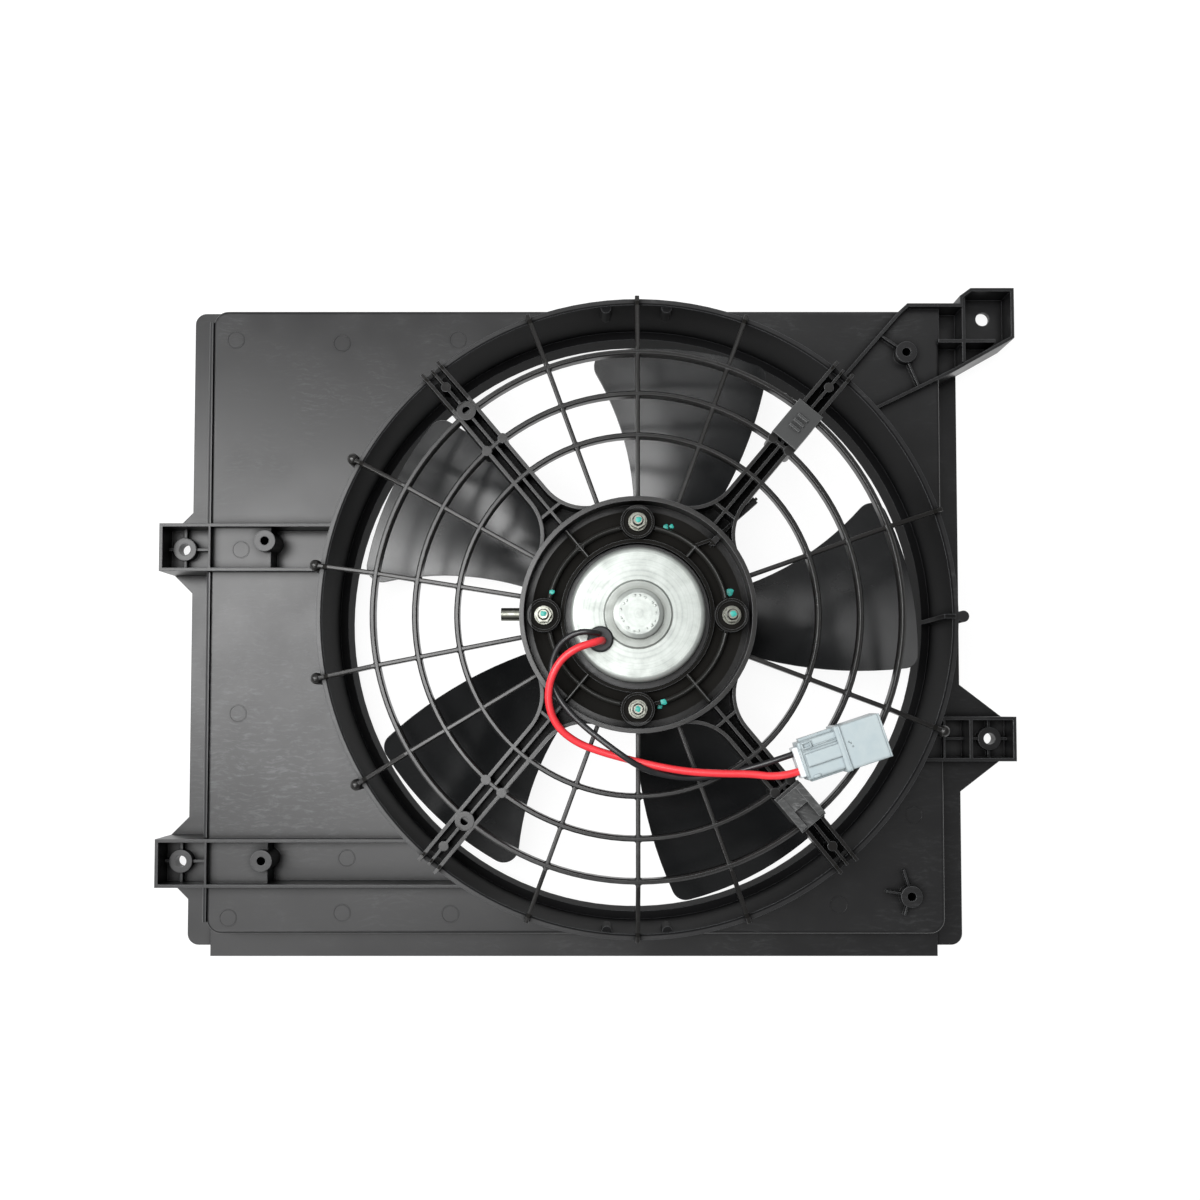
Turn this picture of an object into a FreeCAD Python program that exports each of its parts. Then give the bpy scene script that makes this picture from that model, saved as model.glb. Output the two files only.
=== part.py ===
"""Condenser fan assembly of a passenger car, laid on its condenser side.

The origin is on the fan axis, in the plane of the rim that sits against the condenser.
+Z runs along the fan axis towards the engine bay, +X to the right and +Y up as installed.
All lengths are millimetres and all angles are degrees.
"""
import FreeCAD, Part
import math
import os
import re

import Sketcher

Vector = FreeCAD.Vector
Rotation = FreeCAD.Rotation
Placement = FreeCAD.Placement

doc = FreeCAD.newDocument("condenser_fan")
sheet = doc.addObject("Spreadsheet::Sheet", "sizes")

SIZES = {
    # moulded tray of the shroud
    "tray_left": 260, "tray_right": 188, "tray_top": 193, "tray_bottom": 189,
    "tray_depth": 25, "tray_corner": 9, "tray_edge": 2, "skin": 2.5,
    # flat rim around the tray
    "flange_left": 279, "flange_right": 205, "flange_top": 199, "flange_bottom": 200,
    "flange_thick": 3, "flange_corner": 7,
    "strip_left": 264, "strip_right": 189, "strip_drop": 6.5, "strip_thick": 5,
    # venturi ring
    "ring_inner": 180, "ring_wall": 3.5, "ring_top": 70,
    "throat_radius": 175, "throat_wall": 2.5, "throat_low": 8,
    "post_radius": 3.3, "post_circle": 186.2, "pad_radius": 3, "pad_circle": 179.5, "pad_length": 16,
    # side tabs
    "tab_tip": 290, "tab_half": 14.6, "tab_wall": 2, "tab_top": 29, "tab_floor": 14,
    "tab_hole_x": 278, "tab_hole": 3.5, "tab_boss": 7, "tab_boss_top": 19, "left_gusset": 11,
    "upper_tab_y": 45.8, "lower_tab_y": -146, "trough_start": 223, "trough_floor": 12,
    "right_tab_tip": 231, "right_tab_y": -71, "right_tab_half": 13.5, "right_hole_x": 218,
    "right_web_x": 203.5, "right_rib_start": 162, "right_gusset": 20,
    # corner tab at the upper right: its rim from the ring round the bolt hole and back to the ring
    "corner_hole_x": 218.6, "corner_hole_y": 191.6, "corner_hole": 4.2,
    "corner_start_x": 117, "corner_start_y": 139.5, "corner_bend_x": 161.4, "corner_bend_y": 190.6,
    "corner_top_x": 167.5, "corner_top_y": 196.3, "corner_neck_x": 199.8, "corner_neck_y": 201,
    "corner_crest_x": 206.4, "corner_crest_y": 205.8, "corner_tip_x": 233, "corner_tip_y": 174.8,
    "corner_root_x": 195, "corner_root_y": 153.4, "corner_end_x": 134.3, "corner_end_y": 123.8,
    "corner_web_x": 201.4, "corner_web_y": 172.4,
    "fin_thick": 1.3, "fin_rise": 3, "fin_upper_x": 151.4, "fin_upper_y": 175.9, "fin_lower_x": 175,
    "fin_lower_y": 145.6, "fin_upper_reach": 16.5, "fin_side_reach": 15, "fin_under_reach": 12,
    # screw bosses on the tray
    "boss_radius": 6.5, "boss_bore": 2.6, "boss_top": 30, "boss_gusset": 1.6,
    "left_boss_x": 225.5, "upper_boss_y": 49.6, "lower_boss_y": -144.4,
    "right_boss_x": 166.4, "right_boss_y": 165.8,
    # finger guard
    "guard_top": 82, "ring_width": 3, "rib_width": 2.5, "rib_depth": 6, "rib_drop": 0.3, "rib_round": 0.7,
    "guard_ring_a": 101.6, "guard_ring_b": 125.3, "guard_ring_c": 149,
    "guard_reach": 184.6, "rib_end_top": 72.5, "arm_end_top": 76,
    # arms of the guard
    "arm_half": 6.7, "arm_wall": 2, "arm_rib": 1.6, "arm_low": 66, "arm_floor": 68.2,
    "arm_web_at": 10, "arm_web_lift": 0.1, "arm_pin_at": 169,
    "flare_radius": 28, "arm_boss": 5.4, "arm_boss_bore": 2.3, "arm_boss_at": 150.4, "node_radius": 2.8,
    # ring that carries the motor
    "mount_radius": 66.5, "mount_wall": 2.6, "mount_low": 65.5, "mount_top": 84,
    "mount_bore": 41.5, "mount_floor_low": 68.3, "mount_floor_top": 71,
    "collar_wall": 2.2, "collar_top": 75, "mid_circle": 50.8, "mid_rib": 1.8, "mid_rib_top": 75.5,
    "cross_rib": 1.6, "cross_pin": 2.2, "mount_root": 1,
    "stud_circle": 53, "mount_boss": 9.5, "mount_boss_top": 77, "boss_lip": 1.4, "lip_rise": 1, "stud_hole": 2.8,
    # motor
    "can_radius": 38, "can_wall": 2, "can_low": 40, "can_end": 84, "can_round": 3,
    "step_radius": 19.5, "step_rise": 1, "pocket_radius": 14, "pocket_end": 90, "pocket_flat": 11.5,
    "cover_low": 37.5, "front_pocket_low": 31, "front_pocket_radius": 13.2,
    "plate_thick": 2.4, "plate_ear": 8.5, "fit": 0.05, "seat": 0.3,
    "tube_radius": 3.75, "tube_bore": 2.75, "tube_reach": 78.4, "tube_y": 1.9, "tube_z": 60.4,
    "stud_radius": 2.5, "stud_end": 84.6, "stud_head": 4.5, "stud_head_thick": 1.6,
    "nut_flats": 4, "nut_flange": 5.3, "nut_flange_thick": 1.2, "nut_height": 5,
    "grommet_x": -21.1, "grommet_y": -14, "grommet_flange": 7.3, "grommet_neck": 5,
    "grommet_rise": 2.4, "grommet_tail": 1.6,
    # inside the motor
    "shaft_radius": 4, "shaft_low": 13, "shaft_high": 86.5,
    "bearing_outer": 11, "bearing_width": 7, "bearing_race": 2,
    "magnet_inner": 30.6, "magnet_low": 46, "magnet_high": 71, "magnet_sweep": 76,
    "core_radius": 29.9, "core_low": 49, "core_high": 66, "slot_depth": 13, "slot_width": 4,
    "slot_mouth": 1.6, "slot_roof": 1.6, "winding_bulge": 5, "winding_inner": 10.5, "winding_outer": 26.5,
    "commutator_radius": 10.6, "commutator_low": 72, "commutator_high": 79.3, "commutator_slit": 0.5,
    "brush_length": 11, "brush_width": 6, "brush_height": 4.6, "brush_z": 75.6,
    "holder_radius": 35.2, "holder_bore": 12.2, "holder_low": 78.4, "holder_high": 80, "box_wall": 1,
    "spring_radius": 1.9, "spring_length": 8,
    "washer_radius": 7, "washer_thick": 1,
    # fan
    "hub_radius": 62, "hub_low": 24, "hub_high": 55, "hub_wall": 2.4, "hub_round": 4,
    "hub_boss": 11, "hub_boss_low": 21, "hub_boss_high": 29.4, "hub_rib": 1.8, "hub_rib_high": 34,
    "fan_radius": 166.5, "blade_thick": 2.8, "blade_corner": 9,
    "lead_root_angle": 18.5, "lead_mid_angle": 21.6, "lead_tip_angle": 28.7,
    "trail_root_angle": -18.5, "trail_mid_angle": -15.2, "trail_tip_angle": -9.8,
    "lead_root_z": 28, "trail_root_z": 52.5, "lead_tip_z": 29, "trail_tip_z": 53.5, "blade_camber": 4.5,
    "fan_nut_flats": 6.5, "fan_nut_height": 5.5, "fan_washer": 9, "fan_washer_thick": 1.6,
    # clips on the arms
    "clip_length": 24, "clip_wall": 1.5, "clip_at": 139.6, "clip_rise": 3.2, "clip_hook": 2.2,
    # leads and connector
    "red_radius": 2.1, "black_radius": 1.7,
    "plug_x": 88.6, "plug_y": -81.6, "plug_turn": 18.5, "plug_z": 92.4,
    "rear_length": 22, "rear_half": 10.6, "rear_rise": 8, "collar_length": 3, "collar_half": 12.9,
    "collar_rise": 9.9, "front_length": 22, "front_half": 12.4, "front_rise": 9.4,
    "socket_depth": 20, "socket_wall": 1.7, "lead_pitch": 10, "seal_radius": 3.1, "seal_length": 5,
    "plug_round": 1.5,
    "keeper_thick": 3, "contact_half": 1.4, "contact_thick": 0.8, "contact_length": 30,
}

ARM_ANGLES = (50, 130, 230, 310)
BOSS_ARMS = (130, 230)
RIB_ANGLES = (70, 90, 110, 151, 171, 191, 211, 250, 270, 290, 339.4, 379.4)
SHORT_RIBS = (50,)
PIN_RIBS = (130,)
STUD_ANGLES = (0, 90, 180, 270)
POST_ANGLES = (151, 171, 191, 211, 339.4, 0)
PAD_ANGLES = (84.5, 95.7, 264.4, 275.4)
BLADES = 5
SLOTS = 12
HUB_RIBS = 10
BLADE_TURN = 0
LEAD_TRIM = 0.45

# the leads' routes, each from the grommet to the back of the plug, as x, y and z
RED_ROUTE = (
    (-20, -15, 86.4), (-20, -15, 93), (-25.5, -17, 98), (-34, -19.5, 98.5), (-43, -26, 97),
    (-49, -37.5, 95), (-50, -50.5, 92), (-45, -63, 89), (-34.5, -71.5, 87), (-21.5, -76.5, 86.2),
    (-7, -80.5, 86.2), (9.5, -84.5, 87), (27, -87.5, 89), (45.5, -88.5, 90), (61, -88.5, 90.8),
    (73.5, -90, 91.6), (83.55, -88.56, 92.4), (90.19, -86.34, 92.4),
)
BLACK_ROUTE = (
    (-22, -11, 86.4), (-22, -11, 91.5), (-25.5, -11, 95.5), (-31, -10.5, 96), (-37.5, -12.5, 94),
    (-44, -17.5, 91), (-48, -26.5, 88.5), (-48.5, -36.5, 87.7), (-45.5, -45, 87.7), (-39, -54, 88.7),
    (-29.5, -63, 88.7), (-20, -70.5, 90), (-10.5, -77.5, 91.2), (0.5, -85, 90), (13, -89.5, 87),
    (28.5, -91.5, 85.5), (44, -90, 85.3), (58.5, -86.5, 86.5), (70, -82.8, 90.6), (80.37, -79.08, 92.4),
    (87.01, -76.86, 92.4),
)

for row, (name, value) in enumerate(SIZES.items(), start=1):
    sheet.set(f"A{row}", name)
    sheet.set(f"B{row}", str(value))
    sheet.setAlias(f"B{row}", name)
doc.recompute()


def bind(formula):
    """Return the formula with each size replaced by its cell in the sheet."""
    return re.sub(r"[a-z][a-z_]+", lambda word: f"sizes.{word[0]}" if word[0] in SIZES else word[0], formula)


def number(formula):
    """Return what a formula of sizes comes to."""
    return float(sheet.evalExpression(bind(formula)))


def set_formula(thing, path, formula):
    """Tie one property of an object to a formula of sizes."""
    thing.setExpression(path, bind(formula))


def origin_part(body, role):
    """Find a plane or an axis of the body's own origin."""
    for feature in body.Origin.OriginFeatures:
        if feature.Role == role:
            return feature
    raise ValueError(role)


def new_body(label):
    body = doc.addObject("PartDesign::Body", label)
    body.Label = label
    return body


class Profile:
    """A sketch on one of the body's origin planes, with its corners tied to the sheet."""

    def __init__(self, body, name, role="XY_Plane", level="0", turn=0.0):
        self.sketch = body.newObject("Sketcher::SketchObject", name)
        self.sketch.AttachmentSupport = (origin_part(body, role), "")
        self.sketch.MapMode = "FlatFace"
        axis = Vector(0, 1, 0) if role == "XZ_Plane" else Vector(0, 0, 1)
        self.sketch.AttachmentOffset = Placement(Vector(0, 0, number(level)), Rotation(axis, turn))
        set_formula(self.sketch, "AttachmentOffset.Base.z", level)

    def tie(self, kind, place, formula):
        index = self.sketch.addConstraint(Sketcher.Constraint(kind, *place, number(formula)))
        set_formula(self.sketch, f"Constraints[{index}]", formula)

    def pin(self, geometry, point, corner):
        self.tie("DistanceX", (-1, 1, geometry, point), corner[0])
        self.tie("DistanceY", (-1, 1, geometry, point), corner[1])

    def loop(self, *corners):
        """A closed outline of straight lines through the corners."""
        first = self.sketch.GeometryCount
        spots = [Vector(number(x), number(y), 0) for x, y in corners]
        for here, there in zip(spots, spots[1:] + spots[:1]):
            self.sketch.addGeometry(Part.LineSegment(here, there))
        for index, corner in enumerate(corners):
            following = (index + 1) % len(corners)
            joint = (first + index, 2, first + following, 1)
            self.sketch.addConstraint(Sketcher.Constraint("Coincident", *joint))
            self.pin(first + index, 1, corner)
        return self

    def box(self, left, right, low, high):
        return self.loop((left, low), (right, low), (right, high), (left, high))

    def wall(self, here, there, thick):
        """A straight wall to the right of the line from one point to another."""
        across = f"({there[0]} - ({here[0]}))"
        along = f"({there[1]} - ({here[1]}))"
        length = f"sqrt({across} ^ 2 + {along} ^ 2)"
        x_shift = f"{thick} * {along} / {length}"
        y_shift = f"{thick} * {across} / {length}"
        return self.loop(here, there, (f"{there[0]} + {x_shift}", f"{there[1]} - {y_shift}"),
                         (f"{here[0]} + {x_shift}", f"{here[1]} - {y_shift}"))

    def circle(self, x, y, radius):
        centre = Vector(number(x), number(y), 0)
        index = self.sketch.addGeometry(Part.Circle(centre, Vector(0, 0, 1), number(radius)))
        self.pin(index, 3, (x, y))
        self.tie("Radius", (index,), radius)
        return self

    def rounded(self, left, right, low, high, radius):
        """A rectangle with equal round corners."""
        across = ((left, 1), (right, -1), (right, -1), (left, 1))
        along = ((low, 1), (low, 1), (high, -1), (high, -1))
        first = self.sketch.GeometryCount
        ends = []
        for (x, x_sign), (y, y_sign) in zip(across, along):
            inner_x = f"{x} + {x_sign} * ({radius})"
            inner_y = f"{y} + {y_sign} * ({radius})"
            ends.append(((x, inner_y), (inner_x, y), (inner_x, inner_y)))
        for index, (start, stop, middle) in enumerate(ends):
            if index % 2:
                start, stop = stop, start
            hub = Vector(number(middle[0]), number(middle[1]), 0)
            begin = math.radians(180 + 90 * index)
            round_edge = Part.Circle(hub, Vector(0, 0, 1), number(radius))
            self.sketch.addGeometry(Part.ArcOfCircle(round_edge, begin, begin + math.pi / 2))
            self.pin(first + index, 1, start)
            self.pin(first + index, 2, stop)
            self.tie("DistanceX", (-1, 1, first + index, 3), middle[0])
        for index in range(4):
            here = self.sketch.getPoint(first + index, 2)
            there = self.sketch.getPoint(first + (index + 1) % 4, 1)
            line = self.sketch.addGeometry(Part.LineSegment(here, there))
            self.sketch.addConstraint(Sketcher.Constraint("Coincident", line, 1, first + index, 2))
            self.sketch.addConstraint(Sketcher.Constraint("Coincident", line, 2, first + (index + 1) % 4, 1))
        return self

    def up_to_circle(self, start, low, high, radius):
        """A strip from x = start to the left side of a circle about the origin."""
        reach = number(radius)
        ends = [Vector(-math.sqrt(reach ** 2 - number(y) ** 2), number(y), 0) for y in (high, low)]
        angles = [math.atan2(spot.y, spot.x) % (2 * math.pi) for spot in ends]
        edge = Part.Circle(Vector(0, 0, 0), Vector(0, 0, 1), reach)
        arc = self.sketch.addGeometry(Part.ArcOfCircle(edge, *angles))
        self.sketch.addConstraint(Sketcher.Constraint("Coincident", arc, 3, -1, 1))
        self.tie("Radius", (arc,), radius)
        self.tie("DistanceY", (-1, 1, arc, 1), high)
        self.tie("DistanceY", (-1, 1, arc, 2), low)
        far_high = Vector(number(start), number(high), 0)
        far_low = Vector(number(start), number(low), 0)
        floor = self.sketch.addGeometry(Part.LineSegment(ends[1], far_low))
        back = self.sketch.addGeometry(Part.LineSegment(far_low, far_high))
        top = self.sketch.addGeometry(Part.LineSegment(far_high, ends[0]))
        for joint in ((floor, 1, arc, 2), (floor, 2, back, 1), (back, 2, top, 1), (top, 2, arc, 1)):
            self.sketch.addConstraint(Sketcher.Constraint("Coincident", *joint))
        self.pin(back, 1, (start, low))
        self.pin(back, 2, (start, high))
        return self


def pad(body, name, profile, length, both_ways=False):
    feature = body.newObject("PartDesign::Pad", name)
    feature.Profile = profile.sketch
    feature.Midplane = both_ways
    set_formula(feature, "Length", length)
    feature.Refine = False
    return feature


def pocket(body, name, profile, length, both_ways=False, upward=True):
    """Cut away the profile; upward is along the plane's normal."""
    feature = body.newObject("PartDesign::Pocket", name)
    feature.Profile = profile.sketch
    feature.Midplane = both_ways
    feature.Reversed = upward and not both_ways
    set_formula(feature, "Length", length)
    feature.Refine = False
    return feature


def turned(body, name, profile, removes=False):
    """Turn a profile on the XZ plane once about the body's Z axis."""
    kind = "PartDesign::Groove" if removes else "PartDesign::Revolution"
    feature = body.newObject(kind, name)
    feature.Profile = profile.sketch
    feature.ReferenceAxis = (profile.sketch, ["V_Axis"])
    feature.Angle = 360
    feature.Refine = False
    return feature


def polar(body, name, features, angle, count):
    """Repeat features about the body's Z axis over an angle."""
    pattern = body.newObject("PartDesign::PolarPattern", name)
    pattern.Originals = features
    pattern.Axis = (origin_part(body, "Z_Axis"), [""])
    pattern.Angle = angle
    pattern.Occurrences = count
    pattern.Refine = False
    body.Tip = pattern
    return pattern


def round_edges(body, name, base, wanted, radius):
    """Fillet the edges of the base feature that the test picks."""
    doc.recompute()
    edges = [f"Edge{index}" for index, edge in enumerate(base.Shape.Edges, start=1) if wanted(edge)]
    feature = body.newObject("PartDesign::Fillet", name)
    feature.Base = (base, edges)
    set_formula(feature, "Radius", radius)
    feature.Refine = False
    return feature


def shaped(label, shape, place=None):
    """Hold a shape made by Part's own functions as a named object."""
    feature = doc.addObject("Part::Feature", label)
    feature.Shape = shape
    feature.Label = label
    if place:
        feature.Placement = place
    return feature


def fused(label, members):
    joined = doc.addObject("Part::MultiFuse", label)
    joined.Shapes = members
    joined.Label = label
    joined.Refine = False
    return joined


def pole(radius, angle):
    """Formulas of a point at a polar place about the fan axis."""
    return f"{radius} * cos({angle} deg)", f"{radius} * sin({angle} deg)"


# shroud: tray, rim, venturi ring, tabs and bosses in one moulding

def tray(body):
    rim = Profile(body, "rim_outline")
    rim.rounded("-flange_left", "flange_right", "-flange_bottom", "flange_top", "flange_corner")
    pad(body, "rim", rim, "flange_thick")
    strip = Profile(body, "strip_outline")
    strip.box("-strip_left", "strip_right", "-flange_bottom - strip_drop", "-tray_bottom")
    pad(body, "strip", strip, "strip_thick")
    block = Profile(body, "tray_outline")
    block.rounded("-tray_left", "tray_right", "-tray_bottom", "tray_top", "tray_corner")
    raised = pad(body, "tray_block", block, "tray_depth")

    def outer_top_edge(edge):
        box = edge.BoundBox
        return box.ZMin > number("tray_depth") - 0.01

    round_edges(body, "tray_round", raised, outer_top_edge, "tray_edge")
    hollow = Profile(body, "hollow_outline")
    hollow.rounded("-tray_left + skin", "tray_right - skin", "-tray_bottom + skin", "tray_top - skin",
                   "tray_corner - skin")
    pocket(body, "tray_hollow", hollow, "tray_depth - skin")


def venturi(body):
    section = Profile(body, "venturi_section", "XZ_Plane")
    section.loop(("throat_radius", "throat_low"), ("throat_radius + throat_wall", "throat_low"),
                 ("throat_radius + throat_wall", "tray_depth - skin"),
                 ("ring_inner + ring_wall", "tray_depth - skin"), ("ring_inner + ring_wall", "ring_top"),
                 ("ring_inner", "ring_top"), ("ring_inner", "tray_depth"), ("throat_radius", "tray_depth"))
    turned(body, "venturi_ring", section)


def clear_air_path(body):
    """Cut all that reaches into the throat or the ring."""
    section = Profile(body, "air_section", "XZ_Plane")
    section.loop(("0", "-skin"), ("throat_radius", "-skin"), ("throat_radius", "tray_depth"),
                 ("ring_inner", "tray_depth"), ("ring_inner", "ring_top + skin"), ("0", "ring_top + skin"))
    turned(body, "air_path", section, removes=True)


def tab_places():
    """Side, tip, root, rim edge, gusset reach, middle, half width and hole place of each box tab."""
    return (
        ("-", "tab_tip", "tray_left", "flange_left", "left_gusset", "upper_tab_y", "tab_half", "tab_hole_x"),
        ("-", "tab_tip", "tray_left", "flange_left", "left_gusset", "lower_tab_y", "tab_half", "tab_hole_x"),
        ("", "right_tab_tip", "tray_right", "flange_right", "right_gusset", "right_tab_y", "right_tab_half",
         "right_hole_x"),
    )


def tab_boxes(body):
    """Three hollow side tabs: gusset on the rim, box walls, raised floor, hole in a round seat."""
    gussets = Profile(body, "gusset_outline")
    walls = Profile(body, "tab_wall_outline")
    above = Profile(body, "tab_upper_outline", level="tab_floor")
    below = Profile(body, "tab_lower_outline")
    long_webs = Profile(body, "tab_long_web_outline", level="tab_floor - skin / 2")
    cross_webs = Profile(body, "tab_cross_web_outline", level="tab_floor - skin / 2")
    seats = Profile(body, "tab_seat_outline", level="tab_floor - skin / 2")
    holes = Profile(body, "tab_hole_outline")
    for out, tip, root, rim, reach, middle, half, hole_x in tab_places():
        inwards = "+" if out else "-"
        low = f"{middle} - {half}"
        high = f"{middle} + {half}"
        gussets.loop((f"{out}{rim}", f"{low} - {reach}"), (f"{out}{tip}", low), (f"{out}{tip}", high),
                     (f"{out}{rim}", f"{high} + {reach}"))
        walls.box(f"{out}{tip}", f"{out}{root} {inwards} skin / 2", low, high)
        inner = (f"{out}{tip} {inwards} tab_wall", f"{out}{root}", f"{low} + tab_wall", f"{high} - tab_wall")
        above.box(*inner)
        below.box(*inner)
        long_webs.box(f"{out}{tip} {inwards} tab_wall / 2", f"{out}{root} {inwards} skin / 2",
                      f"{middle} - boss_gusset / 2", f"{middle} + boss_gusset / 2")
        cross_webs.box(f"{out}{hole_x} - boss_gusset / 2", f"{out}{hole_x} + boss_gusset / 2",
                       f"{low} + tab_wall / 2", f"{high} - tab_wall / 2")
        seats.circle(f"{out}{hole_x}", middle, "tab_boss")
        holes.circle(f"{out}{hole_x}", middle, "tab_hole")
    pad(body, "gussets", gussets, "flange_thick")
    pad(body, "tab_walls", walls, "tab_top")
    pocket(body, "tab_upper_hollows", above, "tab_top")
    pocket(body, "tab_lower_hollows", below, "tab_floor - skin")
    pad(body, "tab_long_webs", long_webs, "tab_boss_top - tab_floor")
    pad(body, "tab_cross_webs", cross_webs, "tab_boss_top - tab_floor")
    pad(body, "tab_seats", seats, "tab_boss_top - tab_floor + skin / 2")
    pocket(body, "tab_holes", holes, "ring_top")


def troughs(body):
    """Sunk channels between the left tabs and the ring, with a thin rib along each side."""
    edge = "ring_inner + ring_wall / 2"
    blocks = Profile(body, "trough_block_outline", level="trough_floor - skin")
    ribs = Profile(body, "trough_rib_outline", level="tray_depth - skin / 2")
    sinks = Profile(body, "trough_sink_outline", level="trough_floor")
    for middle in ("upper_tab_y", "lower_tab_y"):
        low = f"{middle} - tab_half"
        high = f"{middle} + tab_half"
        blocks.up_to_circle("-trough_start - skin", low, high, edge)
        ribs.up_to_circle("-tray_left - skin / 2", low, f"{low} + tab_wall", edge)
        ribs.up_to_circle("-tray_left - skin / 2", f"{high} - tab_wall", high, edge)
        sinks.up_to_circle("-trough_start", f"{low} + tab_wall", f"{high} - tab_wall", "ring_inner + ring_wall")
    pad(body, "trough_blocks", blocks, "tray_depth - trough_floor")
    pad(body, "trough_ribs", ribs, "tab_top - tray_depth + skin / 2")
    pocket(body, "trough_sinks", sinks, "tray_depth - trough_floor")


def right_webs(body):
    """Ribs between the right tab and the ring, and a cross rib in the tab."""
    webs = Profile(body, "right_web_outline", level="tray_depth - skin / 2")
    low = "right_tab_y - right_tab_half"
    high = "right_tab_y + right_tab_half"
    for level in (low, f"{high} - tab_wall"):
        webs.box("right_rib_start", "right_web_x", level, f"{level} + tab_wall")
    pad(body, "right_webs", webs, "tab_top - tray_depth + skin / 2")
    cross = Profile(body, "right_cross_outline", level="tab_floor - skin / 2")
    cross.box("right_web_x - tab_wall / 2", "right_web_x + tab_wall / 2", f"{low} + tab_wall / 2",
              f"{high} - tab_wall / 2")
    pad(body, "right_cross_web", cross, "tab_top - tab_floor + skin / 2")


def screw_bosses(body):
    posts = Profile(body, "boss_outline", level="trough_floor - skin")
    bores = Profile(body, "boss_bore_outline", level="trough_floor")
    places = (("-left_boss_x", "upper_boss_y"), ("-left_boss_x", "lower_boss_y"),
              ("right_boss_x", "right_boss_y"), ("right_boss_x", "-right_boss_y"))
    for x, y in places:
        posts.circle(x, y, "boss_radius")
        bores.circle(x, y, "boss_bore")
    pad(body, "screw_bosses", posts, "boss_top - trough_floor + skin")
    pocket(body, "boss_bores", bores, "boss_top")


def corner_tab(body):
    """The upper right corner: a rim that rises from the panel and runs out round a box with a bolt hole."""
    start = ("corner_start_x", "corner_start_y")
    bend = ("corner_bend_x", "corner_bend_y")
    top = ("corner_top_x", "corner_top_y")
    foot = ("corner_neck_x", "corner_top_y")
    heel = ("corner_neck_x", "corner_top_y - tab_wall")
    neck = ("corner_neck_x", "corner_neck_y")
    crest = ("corner_crest_x", "corner_crest_y")
    peak = ("corner_tip_x", "corner_crest_y")
    tip = ("corner_tip_x", "corner_tip_y")
    root = ("corner_root_x", "corner_root_y")
    end = ("corner_end_x", "corner_end_y")
    slope = "(corner_root_y - corner_end_y) / (corner_root_x - corner_end_x)"
    brink = ("tray_right", f"corner_end_y + {slope} * (tray_right - corner_end_x)")
    inside = "tray_top - 2 * tray_corner"
    cover = Profile(body, "corner_cover_outline", level="tray_depth - skin")
    cover.loop(bend, top, ("tray_right", "corner_top_y"), ("tray_right", inside), ("corner_bend_x", inside))
    pad(body, "corner_cover", cover, "skin")
    floor = Profile(body, "corner_floor_outline", level="tab_floor - skin")
    edge = "tray_right - skin / 2"
    floor.loop((edge, "corner_top_y"), foot, neck, crest, peak, tip, root, (edge, brink[1]))
    pad(body, "corner_floor", floor, "skin")
    sides = ((bend, top), (top, foot), (heel, neck), (neck, crest), (crest, peak), (peak, tip), (tip, root),
             (root, brink))
    for index, (here, there) in enumerate(sides):
        side = Profile(body, f"corner_wall_{index}_outline").wall(here, there, "tab_wall")
        pad(body, f"corner_wall_{index}", side, "tab_top")
    low = "tray_depth - skin / 2"
    for name, here, there in (("upper", start, bend), ("lower", brink, end)):
        rim = Profile(body, f"corner_{name}_rim_outline", level=low).wall(here, there, "tab_wall")
        pad(body, f"corner_{name}_rim", rim, f"tab_top - ({low})")
    webs = Profile(body, "corner_long_web_outline", level="tab_floor - skin / 2")
    webs.box(edge, "corner_tip_x - corner_hole - tab_boss", "corner_web_y", "corner_web_y + tab_wall")
    pad(body, "corner_long_web", webs, "tab_top - tab_floor")
    cross = Profile(body, "corner_cross_web_outline", level="tab_floor - skin / 2")
    cross.box("corner_web_x", "corner_web_x + tab_wall", "corner_root_y + tab_boss", "corner_neck_y")
    pad(body, "corner_cross_web", cross, "tab_top - tab_floor")
    hole = Profile(body, "corner_hole_outline").circle("corner_hole_x", "corner_hole_y", "corner_hole")
    pocket(body, "corner_bolt_hole", hole, "ring_top")


def boss_fins(body):
    """Thin fins that brace the two right-hand screw bosses."""
    low = "tray_depth - skin / 2"
    boss = ("right_boss_x", "right_boss_y")
    below = ("right_boss_x", "-right_boss_y")
    ends = [("upper", boss, ("fin_upper_x", "fin_upper_y")), ("lower", boss, ("fin_lower_x", "fin_lower_y"))]
    for name, reach, angle in (("up", "fin_upper_reach", 107), ("side", "fin_side_reach", 171),
                               ("under", "fin_under_reach", 255)):
        across, along = pole(reach, angle)
        ends.append((name, below, (f"right_boss_x + {across}", f"{along} - right_boss_y")))
    for name, here, there in ends:
        fin = Profile(body, f"fin_{name}_outline", level=low).wall(here, there, "fin_thick")
        pad(body, f"fin_{name}", fin, "fin_rise + skin / 2")


def make_shroud():
    body = new_body("shroud")
    tray(body)
    venturi(body)
    tab_boxes(body)
    troughs(body)
    right_webs(body)
    corner_tab(body)
    boss_fins(body)
    screw_bosses(body)
    clear_air_path(body)
    stub = Profile(body, "stub_outline", level="tray_depth - skin / 2")
    stub.box("throat_radius", "ring_inner + ring_wall / 2", "-rib_width / 2", "rib_width / 2")
    pad(body, "stub_rib", stub, "ring_top - tray_depth + skin / 2 + 1")
    posts = Profile(body, "post_outline", level="tray_depth - skin / 2")
    for angle in POST_ANGLES:
        posts.circle(*pole("post_circle", angle), "post_radius")
    pad(body, "rib_posts", posts, "ring_top - tray_depth + skin / 2")
    pads = Profile(body, "pad_outline", level="ring_top - pad_length")
    for angle in PAD_ANGLES:
        pads.circle(*pole("pad_circle", angle), "pad_radius")
    body.Tip = pad(body, "ejector_pads", pads, "pad_length - 1")
    return body


# finger guard: motor ring, three rings, radial ribs and four arms

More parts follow.
